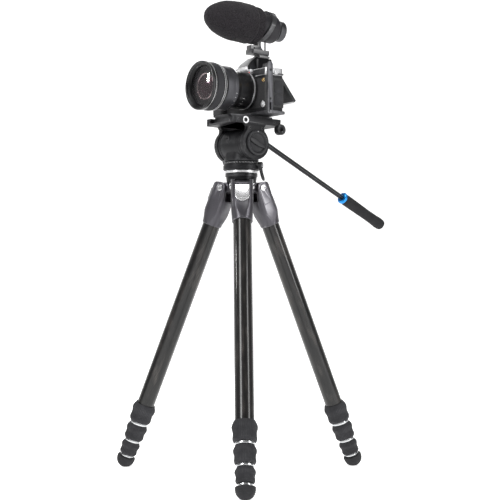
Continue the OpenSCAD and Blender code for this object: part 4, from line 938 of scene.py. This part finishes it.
leatherette, nodes, link, shader = new_material("pebbled_leatherette")
where = add_node(nodes, "ShaderNodeTexCoord").outputs["Object"]
pebbles = add_node(nodes, "ShaderNodeTexVoronoi", feature="SMOOTH_F1",
                   inputs={"Scale": 900.0, "Smoothness": 0.5})
link(where, pebbles.inputs["Vector"])
patches = add_node(nodes, "ShaderNodeTexNoise", inputs={"Scale": 120.0, "Detail": 4.0})
link(where, patches.inputs["Vector"])
# Painted shade: the pebbles are lighter on their raised middles and darker in the creases between them.
hide = add_node(nodes, "ShaderNodeValToRGB")
stop_colours(hide, [(0.1, (0.036, 0.036, 0.038)), (0.6, (0.014, 0.014, 0.015))])
link(pebbles.outputs["Distance"], hide.inputs["Fac"])
link(hide.outputs["Color"], shader.inputs["Base Color"])
dull = add_node(nodes, "ShaderNodeMapRange", inputs={"To Min": 0.48, "To Max": 0.68})
link(patches.outputs["Fac"], dull.inputs["Value"])
link(dull.outputs["Result"], shader.inputs["Roughness"])
pebble_relief = add_node(nodes, "ShaderNodeBump", invert=True, inputs={"Strength": 0.6, "Distance": 0.0003})
link(pebbles.outputs["Distance"], pebble_relief.inputs["Height"])
link(pebble_relief.outputs["Normal"], shader.inputs["Normal"])

soft_edged("camera_body", "camera_shell", body_black, "plate", 0.6)
corners = np.radians(np.linspace(180, 360, 25))[:, None]
centres = np.where(corners < 1.5 * np.pi, -70.5, 48.0)
arcs = np.hstack([centres + 7.35 * np.cos(corners), 16.0 + 7.35 * np.sin(corners)])
inner_arcs = np.hstack([centres + 6.4 * np.cos(corners), 16.0 + 6.4 * np.sin(corners)])
skin_outline = np.concatenate([[[-77.85, 43.0]], arcs, [[55.35, 43.0], [54.4, 43.0]], inner_arcs[::-1],
                               [[-76.9, 43.0]]])
grip_skin = box_outline(-76.85, -4.35, -50.15, 41, 8.2, 8)
make_piece("leather_skin",
           [capped_prism(skin_outline, [(594.0, 0.25), (594.3, 0), (641.0, 0), (641.3, 0.25)]),
                            capped_prism(grip_skin, [(592.0, 0.5), (592.6, 0), (639.6, 0), (640.4, 0.6)])],
           leatherette, "plate", None, ())
for name, x0, x1, z0, z1 in (("connector_door_upper", 24.5, 40.5, 617.0, 637.5),
                             ("connector_door_lower", 24.5, 40.5, 597.5, 615.6)):
    door = set_at(capped_prism(box_outline(x0, z0, x1, z1, 1.6, 4), eased_ends(55.0, 56.5, 0.4)), side_rows)
    make_piece(name, [door], lock_rubber, "plate", None, ())
FRONTWARD = (0, -1, 0)
lever_frame = axis_frame((46.0, 8.7, 598.5), FRONTWARD)
make_piece("focus_selector",
           [set_at(turned_surface(rounded([[0, 0], [4.8, 0], [4.8, 1.4], [4.2, 2.0], [0, 2.0]], 0.4, 3),
                                  48), lever_frame),
                              swept_lever(np.array([46, 6.0, 598.5]) + np.outer(np.linspace(-0.2, 1, 9),
                                                                                [2.2, 0, 5.6]),
                                          [1.0, 1.9, 2.0, 2.0, 1.9, 1.8, 1.6, 1.3,
                                           0.6], [0.5, 0.8, 0.9, 0.9, 0.9, 0.9, 0.8, 0.7,
                                                  0.3], (1, 0, -0.4))],
           machined_rim, "plate", None, ())
brass = worn_and_lit_coat("terminal_brass", (0.72, 0.55, 0.30), 0.26, metal=1.0, grain=700, bump=0.05, mottle=0.12)
flash = rounded([[0, 0], [3.6, 0], [3.6, 1.1], [3.1, 1.6], [2.2, 1.6], [2.2, 0.8], [1.1, 0.8], [1.1, 1.2],
                 [0, 1.2]], 0.2, 2)
make_piece("flash_socket", [set_at(turned_surface(flash, 48), axis_frame((47.0, 8.7, 637.6), FRONTWARD))],
           brass, "plate", None, ())
lug_frame = axis_frame((55.3, 27.0, 650.5), NEAR)
lug_run = rounded([[0, 0], [3.4, 0], [3.4, 0.7], [2.2, 1.2], [0, 1.2]], 0.3, 2)
make_piece("strap_lug", [set_at(turned_surface(lug_run, 40), lug_frame),
                         ring_tube(2.6, 0.55, (57.6, 27.0, 649.6), (0, 1, 0), 40, 12)],
           machined_rim, "plate", None, ())

# ---- Top plate and dials ------------------------------------------------------------------------------
# Satin silver top plate with the finder hump pressed up in its middle, black inlays beside the dials, an
# eyepiece behind and an accessory shoe on top. The dials are knurled all round.
satin_silver = worn_and_lit_coat("satin_silver", (0.50, 0.50, 0.51), 0.36, metal=0.85, grain=1500, bump=0.12,
                         mottle=0.08,
                         edge=(0.85, 0.85, 0.85))
two_tone = satin_silver.copy()
two_tone.name = "silver_and_black"
nodes, link = two_tone.node_tree.nodes, two_tone.node_tree.links.new
shader = nodes["Principled BSDF"]
spot = add_node(nodes, "ShaderNodeSeparateXYZ")
link(add_node(nodes, "ShaderNodeTexCoord").outputs["Object"], spot.inputs["Vector"])
masks = []
for axis, low, high in (("X", 0.0104, 0.0106), ("Z", 0.6584, 0.6586)):
    mask = add_node(nodes, "ShaderNodeMapRange", interpolation_type="SMOOTHSTEP",
                    inputs={"From Min": low, "From Max": high})
    link(spot.outputs[axis], mask.inputs["Value"])
    masks.append(mask)
both = add_node(nodes, "ShaderNodeMath", operation="MULTIPLY")
link(masks[0].outputs["Result"], both.inputs[0])
link(masks[1].outputs["Result"], both.inputs[1])
paint = add_node(nodes, "ShaderNodeMix", data_type="RGBA")
link(both.outputs["Value"], paint.inputs["Factor"])
link(shader.inputs["Base Color"].links[0].from_socket, paint.inputs["A"])
paint.inputs["B"].default_value = (0.014, 0.014, 0.016, 1)
link(paint.outputs["Result"], shader.inputs["Base Color"])
soft_edged("top_plate", "top_cover", two_tone, "plate", 0.7, corner=20)
inlay_left = capped_prism(box_outline(20.5, 13.0, 52.0, 41.5, 4.0, 6),
                          [(657.85, 0.2), (658.25, 0.2), (658.35, 0.5)])
inlay_right = capped_prism(box_outline(-74.5, 17.5, -20.5, 41.5, 4.0, 6),
                           [(657.85, 0.2), (658.25, 0.2), (658.35, 0.5)])
band = set_at(capped_prism(box_outline(17.0, 646.9, 43.5, 649.6, 0.6, 3),
                           [(55.0, 0), (55.25, 0), (55.35, 0.2)]), side_rows)
front_band = set_at(capped_prism(box_outline(19.5, -656.6, 49.0, -647.2, 1.0, 3),
                                 [(8.62, 0.2), (8.72, 0), (9.1, 0)]),
                    (np.array([[1.0, 0, 0], [0, 0, -1.0], [0, 1.0, 0]]), np.zeros(3)))
make_piece("top_inlays", [inlay_left, inlay_right, band, front_band], body_black, "plate", None, ())
dial_grey = worn_and_lit_coat("dial_grey", (0.055, 0.055, 0.058), 0.34, metal=0.85, grain=1300, bump=0.08,
                      mottle=0.1,
                      edge=(0.42, 0.42, 0.42))
for name, x, body in (("iso_dial", 37.0, "iso"), ("shutter_dial", -36.0, "shutter")):
    dial_run = rounded([[0, 656.1], [3.0, 656.1], [3.0, 658.4], [8.1, 658.4], [8.5, 658.8], [8.5, 665.2],
                        [8.0, 666.2],
                        [6.6, 666.9], [6.0, 666.3], [0, 666.3]], 0.3, 3)
    rows = (np.eye(3), np.array([x, 25.0, 0]))
    make_piece(f"{name}_body", [set_at(turned_surface(dial_run, 240, grip_ribs(60, 0.32, 658.9, 665.3)),
                                       rows)],
               dial_grey, body, None, name, crease=40)
    make_piece(f"{name}_marks",
               [set_at(capped_prism(box_outline(-0.25, 3.4, 0.25, 5.4, 0.1, 1), [(666.2, 0), (666.4, 0)]),
                                        (np.array([[math.cos(a), math.sin(a), 0],
                                                   [-math.sin(a), math.cos(a), 0], [0, 0, 1]]),
                                         np.array([x, 25.0, 0]))) for a in np.arange(12) * math.pi / 6],
               scale_white, body, None, ())
button = rounded([[0, 656.9], [4.0, 656.9], [4.0, 659.9], [5.4, 660.2], [5.5, 661.0], [4.6, 661.4],
                  [2.5, 661.1], [0, 660.9]], 0.3, 3)
make_piece("release_button", [set_at(turned_surface(button, 64), (np.eye(3), np.array([-63.0, 13.0, 0])))],
           plated,
           "release", None, "shutter_button")
eye_outline = box_outline(-14.5, 661.0, 14.5, 678.5, 6.0, 6)
behind = (np.array([[1.0, 0, 0], [0, 0, 1.0], [0, -1.0, 0]]), np.zeros(3))
eye_cup = capped_prism(eye_outline, [(-53.9, 1.2), (-52.8, 0.2), (-51.4, 0)] + [(-47.6, 0), (-46.9, 0.9)])
eye_glass = capped_prism(box_outline(-7.5, 665.0, 7.5, 674.5, 2.5, 5), [(-54.1, 0.2), (-53.6, 0)])
make_piece("eyepiece_rubber", [set_at(eye_cup, behind)], lock_rubber, "plate", None, ())
dark_glass = worn_and_lit_coat("dark_glass", (0.010, 0.010, 0.014), 0.06, grain=200, bump=0.01, mottle=0.1,
                       coat=1.0)
make_piece("eyepiece_glass", [set_at(eye_glass, behind)], dark_glass, "plate", None, ())
rails = [capped_prism(box_outline(x0, 31.5, x1, 51.6, 0.4, 2), eased_ends(679.9, 680.7, 0.2))
         for x0, x1 in ((-9.4, -6.6), (6.6, 9.4))]
make_piece("shoe_rails", rails, plated, "plate", None, ())
guard = set_at(capped_prism(corner_rounds([[17.5, 655], [20.2, 655], [20.2, 676.5], [17.5, 676.5]], 0.8, 3),
                            eased_ends(17.6, 18.9, 0.3)), side_rows)
make_piece("hump_guard", [guard], body_black, "plate", None, ())
mark_red = worn_and_lit_coat("mark_red", (0.70, 0.02, 0.02), 0.3, grain=500, bump=0.02, mottle=0.1, coat=0.6)
mark_run = [[0, -0.4], [1.9, -0.4], [1.9, 0.4], [1.5, 0.8], [0, 0.9]]
make_piece("mount_mark", [set_at(turned_surface(mark_run, 32), axis_frame((13.8, 5.2, 652.6), FRONTWARD))],
           mark_red, "plate", None, ())

# ---- Rear screen --------------------------------------------------------------------------------------
# A slim moulded screen housing hung from two hinge arms under the eyepiece, tilted out, with its glass
# on the rear face.
LCD_ANGLE = math.radians(40)
hinge_line = np.array([-3.0, 49.0, 653.402])
screen_down = np.array([0, math.sin(LCD_ANGLE), -math.cos(LCD_ANGLE)])
screen_out = np.array([0, math.cos(LCD_ANGLE), math.sin(LCD_ANGLE)])
screen_rows = (np.array([[1.0, 0, 0], -screen_down, -screen_out]), hinge_line)
case = capped_prism(box_outline(-38.9, -56.9, 38.9, 2.4, 3.2, 6), eased_ends(-2.85, 2.85, 1.1, 4))
make_piece("screen_case", [set_at(case, screen_rows)], body_black, "screen", None, "lcd_screen")
pane = capped_prism(box_outline(-36.0, -53.5, 36.0, -3.5, 1.6, 4), [(-3.15, 0.3), (-2.95, 0), (-2.6, 0)])
make_piece("screen_pane", [set_at(pane, screen_rows)], dark_glass, "screen", None, ())
arms = [set_at(turned_surface([[0, x - 3.2], [2.5, x - 3.2], [2.5, x + 3.2], [0, x + 3.2]], 32),
               axis_frame(hinge_line, NEAR))
        for x in (-27, 27)]
edge_strip = capped_prism(box_outline(-38.2, -56.4, 38.2, -53.6, 0.6, 2),
                          [(-1.2, 0), (2.95, 0), (3.02, 0.1)])
make_piece("screen_hinge_arms", arms + [set_at(edge_strip, screen_rows)], satin_silver, "screen", None, ())

# ---- Lens ---------------------------------------------------------------------------------------------
# Zoom lens in black anodised aluminium, turned: a threaded front rim, a ribbed focus ring, thin bright
# control rings, a wide satin zoom ring with fine knurling, and a plain barrel down to its mount.
LENS_FRONT = -85.0
lens_rows = axis_frame((0, LENS_FRONT, LENS_HEIGHT), (0, 1, 0), (1, 0, 0))
lens_black = worn_and_lit_coat("lens_black", (0.020, 0.020, 0.021), 0.30, metal=0.55, grain=1500, bump=0.10,
                       mottle=0.2,
                       edge=(0.16, 0.16, 0.165), coat=0.3)
thread = np.arange(0.4, 3.7, 0.35)
thread_run = np.stack([np.where(np.arange(len(thread)) % 2 == 0, 36.0, 35.7), thread], 1)[::-1]
barrel_run = np.concatenate([
    [[0, 89.9], [31.0, 89.9], [31.0, 62.0], [33.0, 54.6], [33.0, 54.0], [32.6, 53.6]],
    [[32.6, 32.0], [35.2, 31.2], [36.9, 30.4], [37.4, 29.0], [37.4, 27.2], [37.0, 26.9], [37.0, 26.3],
     [37.8, 26.0],
     [38.1, 24.0], [38.1, 22.9], [35.4, 22.7], [35.4, 8.9], [39.15, 8.7], [39.15, 6.2], [38.75,
                                                                                         5.9], [38.75, 5.4],
     [39.15, 5.1], [39.15, 1.0], [38.3, 0.0], [36.6, 0.0], [36.2, 0.3]]])
well = [[35.6, 4.0], [34.4, 4.4], [34.4, 5.2], [33.4, 5.4], [33.4, 6.6], [33.0, 7.0], [33.0, 13.0],
        [0, 13.0]]
lens_profile = np.concatenate([rounded(barrel_run, 0.35, 2), thread_run[::-1], rounded(well, 0.25, 2)])
make_piece("lens_shell", [set_at(turned_surface(lens_profile, 160), lens_rows)], lens_black, "plate", None,
           "lens_barrel", crease=30)
bright_bands = [rounded([[37.0, a], [38.32, a + 0.1], [38.32, b - 0.1], [37.0, b], [37.0, a]], 0.1, 1)
                for a, b in ((23.2, 23.9), (26.35, 26.85))]
rim_band = [rounded([[39.0, 5.35], [39.16, 5.4], [39.16, 5.85], [39.0, 5.9], [39.0, 5.35]], 0.05, 1)]
mount_band = [rounded([[30.8, 87.2], [31.35, 87.3], [31.35, 89.8], [30.8, 89.9], [30.8, 87.2]], 0.1, 1)]
make_piece("lens_bright_bands",
           [set_at(turned_surface(run, 128), lens_rows) for run in bright_bands + rim_band + mount_band],
           machined_rim, "plate", None, ())
focus_run = rounded([[36.25, 22.1], [36.25, 9.4], [38.2, 9.4], [38.8, 10.0], [38.8, 21.5], [38.2, 22.1],
                     [36.25, 22.1]], 0.4, 3)
make_piece("focus_ring_ribs", [set_at(turned_surface(focus_run, 480, grip_ribs(96, 0.55, 10.2, 21.2)),
                                      lens_rows)],
           lock_rubber, "focus", None, "focus_ring", crease=50)
zoom_grey = worn_and_lit_coat("zoom_grey", (0.060, 0.060, 0.066), 0.42, metal=0.7, grain=1500, bump=0.10,
                      mottle=0.12,
                      edge=(0.30, 0.30, 0.31))
zoom_run = rounded([[32.6, 53.6], [32.6, 31.9], [34.9, 31.9], [35.5, 32.5], [35.5, 45.0], [35.3, 45.3],
                    [35.3, 45.9],
                    [35.5, 46.2], [35.5, 53.0], [34.9, 53.6], [32.6, 53.6]], 0.3, 3)
make_piece("zoom_ring_sleeve", [set_at(turned_surface(zoom_run, 512, grip_ribs(128, 0.16, 33.4, 44.4)),
                                       lens_rows)],
           zoom_grey, "zoom", None, "zoom_ring", crease=50)
make_piece("zoom_scale", [tick_ring(35.5, 49.6, 9, 4, 1.8, 3.2, 0.4, lens_rows, (20, 110))], scale_white,
           "zoom",
           None, ())
make_piece("barrel_scale", [tick_ring(31.0, 70.0, 5, 2, 2.0, 4.0, 0.4, lens_rows, (35, 75)),
                            tick_ring(38.1, 25.2, 15, 5, 0.7, 1.2, 0.3, lens_rows,
                                      (10, 120))], scale_white, "plate",
           None, ())

# ---- Lens glass ---------------------------------------------------------------------------------------
# Multi-coated front element over stepped matt baffles, with a second element deeper in the barrel. The
# magenta and green of the coatings' reflections are painted into the deeper element's colour and coat tint.
baffle_black = worn_and_lit_coat("baffle_black", (0.008, 0.008, 0.009), 0.55, grain=900, bump=0.1, mottle=0.2)
baffles = [[33.0, 7.4], [33.0, 9.0], [30.2, 9.2], [30.2, 10.2], [27.2, 10.5], [27.2, 11.3], [23.6, 11.6],
           [23.6, 12.3],
           [19.0, 12.5], [19.0, 12.9], [33.0, 12.95], [33.0, 7.4]]
make_piece("glass_baffles", [set_at(turned_surface(baffles[::-1], 128), lens_rows)], baffle_black, "plate",
           None,
           ())


def coated_glass(name, colour, tint, rough, film):
    """Glass with a thin coating: the clear body lets light through, and a film of that thickness in
    nanometres colours what the surface reflects."""
    material, nodes, link, shader = new_material(name)
    where = add_node(nodes, "ShaderNodeTexCoord").outputs["Object"]
    haze = add_node(nodes, "ShaderNodeTexNoise", inputs={"Scale": 80.0, "Detail": 4.0})
    link(where, haze.inputs["Vector"])
    shade = add_node(nodes, "ShaderNodeValToRGB")
    stop_colours(shade, [(0.3, colour), (0.75, tint)])
    link(haze.outputs["Fac"], shade.inputs["Fac"])
    link(shade.outputs["Color"], shader.inputs["Base Color"])
    smear = add_node(nodes, "ShaderNodeMapRange", inputs={"To Min": rough, "To Max": rough + 0.03})
    link(haze.outputs["Fac"], smear.inputs["Value"])
    link(smear.outputs["Result"], shader.inputs["Roughness"])
    shader.inputs["IOR"].default_value = 1.62
    shader.inputs["Thin Film Thickness"].default_value = film
    shader.inputs["Thin Film IOR"].default_value = 1.38
    return material, shader


front_coat, shader = coated_glass("front_coat", (0.90, 0.86, 0.90), (0.97, 0.95, 0.98), 0.01, 0.0)
shader.inputs["Transmission Weight"].default_value = 1.0
# Painted reflection: the deeper element's magenta and green colours and its pink coat tint stand in for the
# coating's coloured reflection.
deep_glass_painted_tint, shader = coated_glass("deep_glass_painted_tint", (0.045, 0.014, 0.020), (0.014, 0.024, 0.018), 0.05, 0.0)
shader.inputs["Coat Weight"].default_value = 1.0
shader.inputs["Coat Tint"].default_value = (0.95, 0.72, 0.80, 1)
reach = np.linspace(0, 1, 26)
front_dome = np.stack([32.9 * reach, 7.05 + (32.9 * reach) ** 2 / 600], 1)
back_dome = np.stack([32.9 * reach, 8.6 + (32.9 * reach) ** 2 / 2000], 1)[::-1]
make_piece("front_element", [set_at(turned_surface(np.concatenate([front_dome, back_dome])[::-1], 128),
                                    lens_rows)],
           front_coat, "plate", None, "front_glass")
deep_dome = np.stack([19.0 * reach, 11.2 + (19.0 * reach) ** 2 / 240], 1)
make_piece("deep_element", [set_at(turned_surface(np.concatenate([deep_dome, [[0, 12.9]]])[::-1], 96),
                                   lens_rows)],
           deep_glass_painted_tint, "plate", None, ())
glow = worn_and_lit_coat("element_gleam", (0.50, 0.42, 0.40), 0.12, metal=0.9, grain=200, bump=0.02, mottle=0.4,
                 coat=1.0)
make_piece("element_ring",
           [set_at(turned_surface(rounded([[19.0, 12.4], [20.4, 11.9], [21.0, 11.9], [21.6, 12.4],
                                           [19, 12.4]], 0.2, 2), 96),
                                   lens_rows)], glow, "plate", None, ())

# ---- Microphone ---------------------------------------------------------------------------------------
# Moulded black body on the axis of its foam, with a raised control block on its back, a seam between its
# two halves, and a knurled metal gain ring behind.
MIC_PIVOT, MIC_LEAN = np.array([0, 46.5, 733.902]), math.radians(3.1)
mic_way = np.array([0, math.cos(MIC_LEAN), -math.sin(MIC_LEAN)])
mic_up = np.array([0, math.sin(MIC_LEAN), math.cos(MIC_LEAN)])
mic_origin = MIC_PIVOT - 46.5 * mic_way
mic_rows = axis_frame(mic_origin, mic_way, (1, 0, 0))
mic_black = worn_and_lit_coat("mic_black", (0.017, 0.016, 0.019), 0.50, grain=1700, bump=0.18, mottle=0.2,
                      edge=(0.12, 0.12, 0.125))
mic_run = rounded([[0, -59.0], [10.5, -59.0], [10.5, 29.5], [19.0, 29.5], [22.2, 30.4], [23.0, 32.0],
                   [23.0, 47.6], [22.6, 47.9], [22.6, 48.4], [23.0, 48.7], [23.0, 63.6], [22.2, 65.6],
                   [20.0, 67.0], [0, 67.0]], 0.5, 3)
block_outline = corner_rounds([[39.0, 18.0], [66.0, 18.0], [66.0, 23.0], [63.0, 26.0], [43.0, 27.0],
                               [39.0, 23.0]], 1.4, 4)
block_rows = (np.array([mic_way, mic_up, [1.0, 0, 0]]), mic_origin)
button_rows = (np.array([[1.0, 0, 0], mic_way, mic_up]), mic_origin)
buttons = [capped_prism(box_outline(-3.6, y0, 3.6, y0 + 5.0, 1.2, 4), [(25.4, 0), (26.9, 0), (27.2, 0.4)])
           for y0 in (45.0, 52.5)]
make_piece("mic_shell", [set_at(turned_surface(mic_run, 128), mic_rows),
                         set_at(capped_prism(block_outline, eased_ends(-9.0, 9.0, 1.4)), block_rows)],
           mic_black, "plate", None, "mic_body")
make_piece("mic_buttons", [set_at(shape, button_rows) for shape in buttons], lever_plastic,
           "plate", None, ())
gain_run = rounded([[0, 67.4], [15.3, 67.4], [15.3, 70.2], [17.0, 71.6], [17.3, 72.4], [17.3, 82.2],
                    [16.6, 83.4],
                    [15.0, 84.0], [13.6, 83.2], [12.0, 83.0], [0, 83.0]], 0.4, 3)
satin_nickel = worn_and_lit_coat("satin_nickel", (0.075, 0.075, 0.080), 0.34, metal=0.9, grain=900, bump=0.08,
                         mottle=0.12,
                         edge=(0.35, 0.35, 0.35))
make_piece("gain_ring", [set_at(turned_surface(gain_run, 288, grip_ribs(72, 0.3, 72.8, 82.0)), mic_rows)],
           satin_nickel,
           "gain", None, "mic_dial", crease=50)

# ---- Foam windscreen ----------------------------------------------------------------------------------
# Open-cell foam moulded in one piece: a long half ellipsoid, then a slightly narrower ribbed cuff that
# grips the microphone. The skin is soft, lumpy and pitted, with painted shade darkening its pits and
# hollows.
FOAM_RADIUS, FOAM_TIP, FOAM_NOSE, FOAM_END, CUFF = 32.5, -73.0, 64.0, 29.0, 14.0
foam, nodes, link, shader = new_material("charcoal_foam")
where = add_node(nodes, "ShaderNodeTexCoord").outputs["Object"]
cells = add_node(nodes, "ShaderNodeTexVoronoi", feature="F1", inputs={"Scale": 900.0, "Randomness": 1.0})
link(where, cells.inputs["Vector"])
clumps = add_node(nodes, "ShaderNodeTexNoise", inputs={"Scale": 130.0, "Detail": 6.0, "Roughness": 0.65})
link(where, clumps.inputs["Vector"])
# Painted shade: the colour darkens away from each cell's middle and in the low parts between lumps, where
# the relief sinks.
pore_painted_shade = add_node(nodes, "ShaderNodeValToRGB")
stop_colours(pore_painted_shade, [(0.05, (0.042, 0.037, 0.042)), (0.45, (0.024, 0.021, 0.0245)),
                          (0.85, (0.006, 0.0055, 0.0065))])
link(cells.outputs["Distance"], pore_painted_shade.inputs["Fac"])
lump_painted_shade = add_node(nodes, "ShaderNodeValToRGB")
stop_colours(lump_painted_shade, [(0.3, 0.72), (0.7, 1.0)])
link(clumps.outputs["Fac"], lump_painted_shade.inputs["Fac"])
foam_mix = add_node(nodes, "ShaderNodeMix", data_type="RGBA", blend_type="MULTIPLY", inputs={"Factor": 1.0})
link(pore_painted_shade.outputs["Color"], foam_mix.inputs["A"])
link(lump_painted_shade.outputs["Color"], foam_mix.inputs["B"])
link(foam_mix.outputs["Result"], shader.inputs["Base Color"])
dull = add_node(nodes, "ShaderNodeMapRange", inputs={"To Min": 0.86, "To Max": 1.0})
link(clumps.outputs["Fac"], dull.inputs["Value"])
link(dull.outputs["Result"], shader.inputs["Roughness"])
shader.inputs["Specular IOR Level"].default_value = 0.2
shader.inputs["Sheen Weight"].default_value = 0.06
shader.inputs["Sheen Roughness"].default_value = 0.5
pores = add_node(nodes, "ShaderNodeMath", operation="MULTIPLY_ADD")
link(cells.outputs["Distance"], pores.inputs[0])
pores.inputs[1].default_value = -1.0
link(clumps.outputs["Fac"], pores.inputs[2])
foam_relief = add_node(nodes, "ShaderNodeBump", inputs={"Strength": 0.8, "Distance": 0.0008})
link(pores.outputs["Value"], foam_relief.inputs["Height"])
link(foam_relief.outputs["Normal"], shader.inputs["Normal"])


def foam_swell(angle, along, radius):
    """Slow lumps, a few tenths of a millimetre high: three products of sines of the angle and of the
    place along the axis; with ribs round the cuff."""
    lumps = 0.35 * np.sin(3 * angle + along / 9) * np.cos(along / 13 + 1) \
        + 0.22 * np.sin(5 * angle - along / 6 + 2) + 0.14 * np.sin(9 * angle + along / 4) * np.sin(along / 5)
    cuff = np.clip((along - (FOAM_END - CUFF)) / 1.0, 0, 1)
    ribs = 0.28 * np.cos(2 * np.pi * (along - FOAM_END + CUFF) / 2.6) * cuff
    reach = np.clip(radius / 12, 0, 1)
    return (lumps * (1 - 0.7 * cuff) * reach - 0.4 * reach) + ribs - 0.15 * cuff


turn = np.linspace(0, np.pi / 2, 60)
nose_run = np.stack([FOAM_RADIUS * np.sin(turn), FOAM_TIP + 0.3 + (FOAM_NOSE - 0.3) * (1 - np.cos(turn))],
                    1)
side_run = np.column_stack([np.full(10, FOAM_RADIUS),
                            np.linspace(FOAM_TIP + FOAM_NOSE + 2, FOAM_END - CUFF - 3, 10)])
cuff_run = np.column_stack([np.concatenate([[FOAM_RADIUS - 0.5], np.full(38, FOAM_RADIUS - 1.6)]),
                            np.linspace(FOAM_END - CUFF - 1.4, FOAM_END - 1.8, 39)])
lip_run = arc_run(1.6, FOAM_END - 1.7, 0, np.pi / 2, 6) + np.array([FOAM_RADIUS - 3.3, 0])
foam_run = np.concatenate([nose_run, side_run, cuff_run, lip_run,
                           [[10.6, FOAM_END], [10.6, FOAM_TIP + 13.6], [0, FOAM_TIP + 13.6]]])
windscreen = make_piece("foam_windscreen", [set_at(turned_surface(foam_run, 160, foam_swell), mic_rows)],
                        foam, "plate",
                        None, "windscreen", crease=60)

# ---- Shock mount --------------------------------------------------------------------------------------
# Grey aluminium strap that leans round the microphone, on a base rail with a front block and a thin rear
# post. Its foot is held in the accessory shoe by a plate.
mount_grey = worn_and_lit_coat("mount_grey", (0.060, 0.060, 0.064), 0.46, metal=0.6, grain=1400, bump=0.12,
                       mottle=0.15,
                       edge=(0.22, 0.22, 0.22))
soft_edged("shock_mount", "shock_mount_frame", mount_grey, "plate", 0.5, corner=30)
make_piece("mount_screw", [set_at(socket_head(1.5, 0.6, 0.7), axis_frame((6.0, 22.0, 697.0), NEAR))],
           socket_black, "plate", None, ())
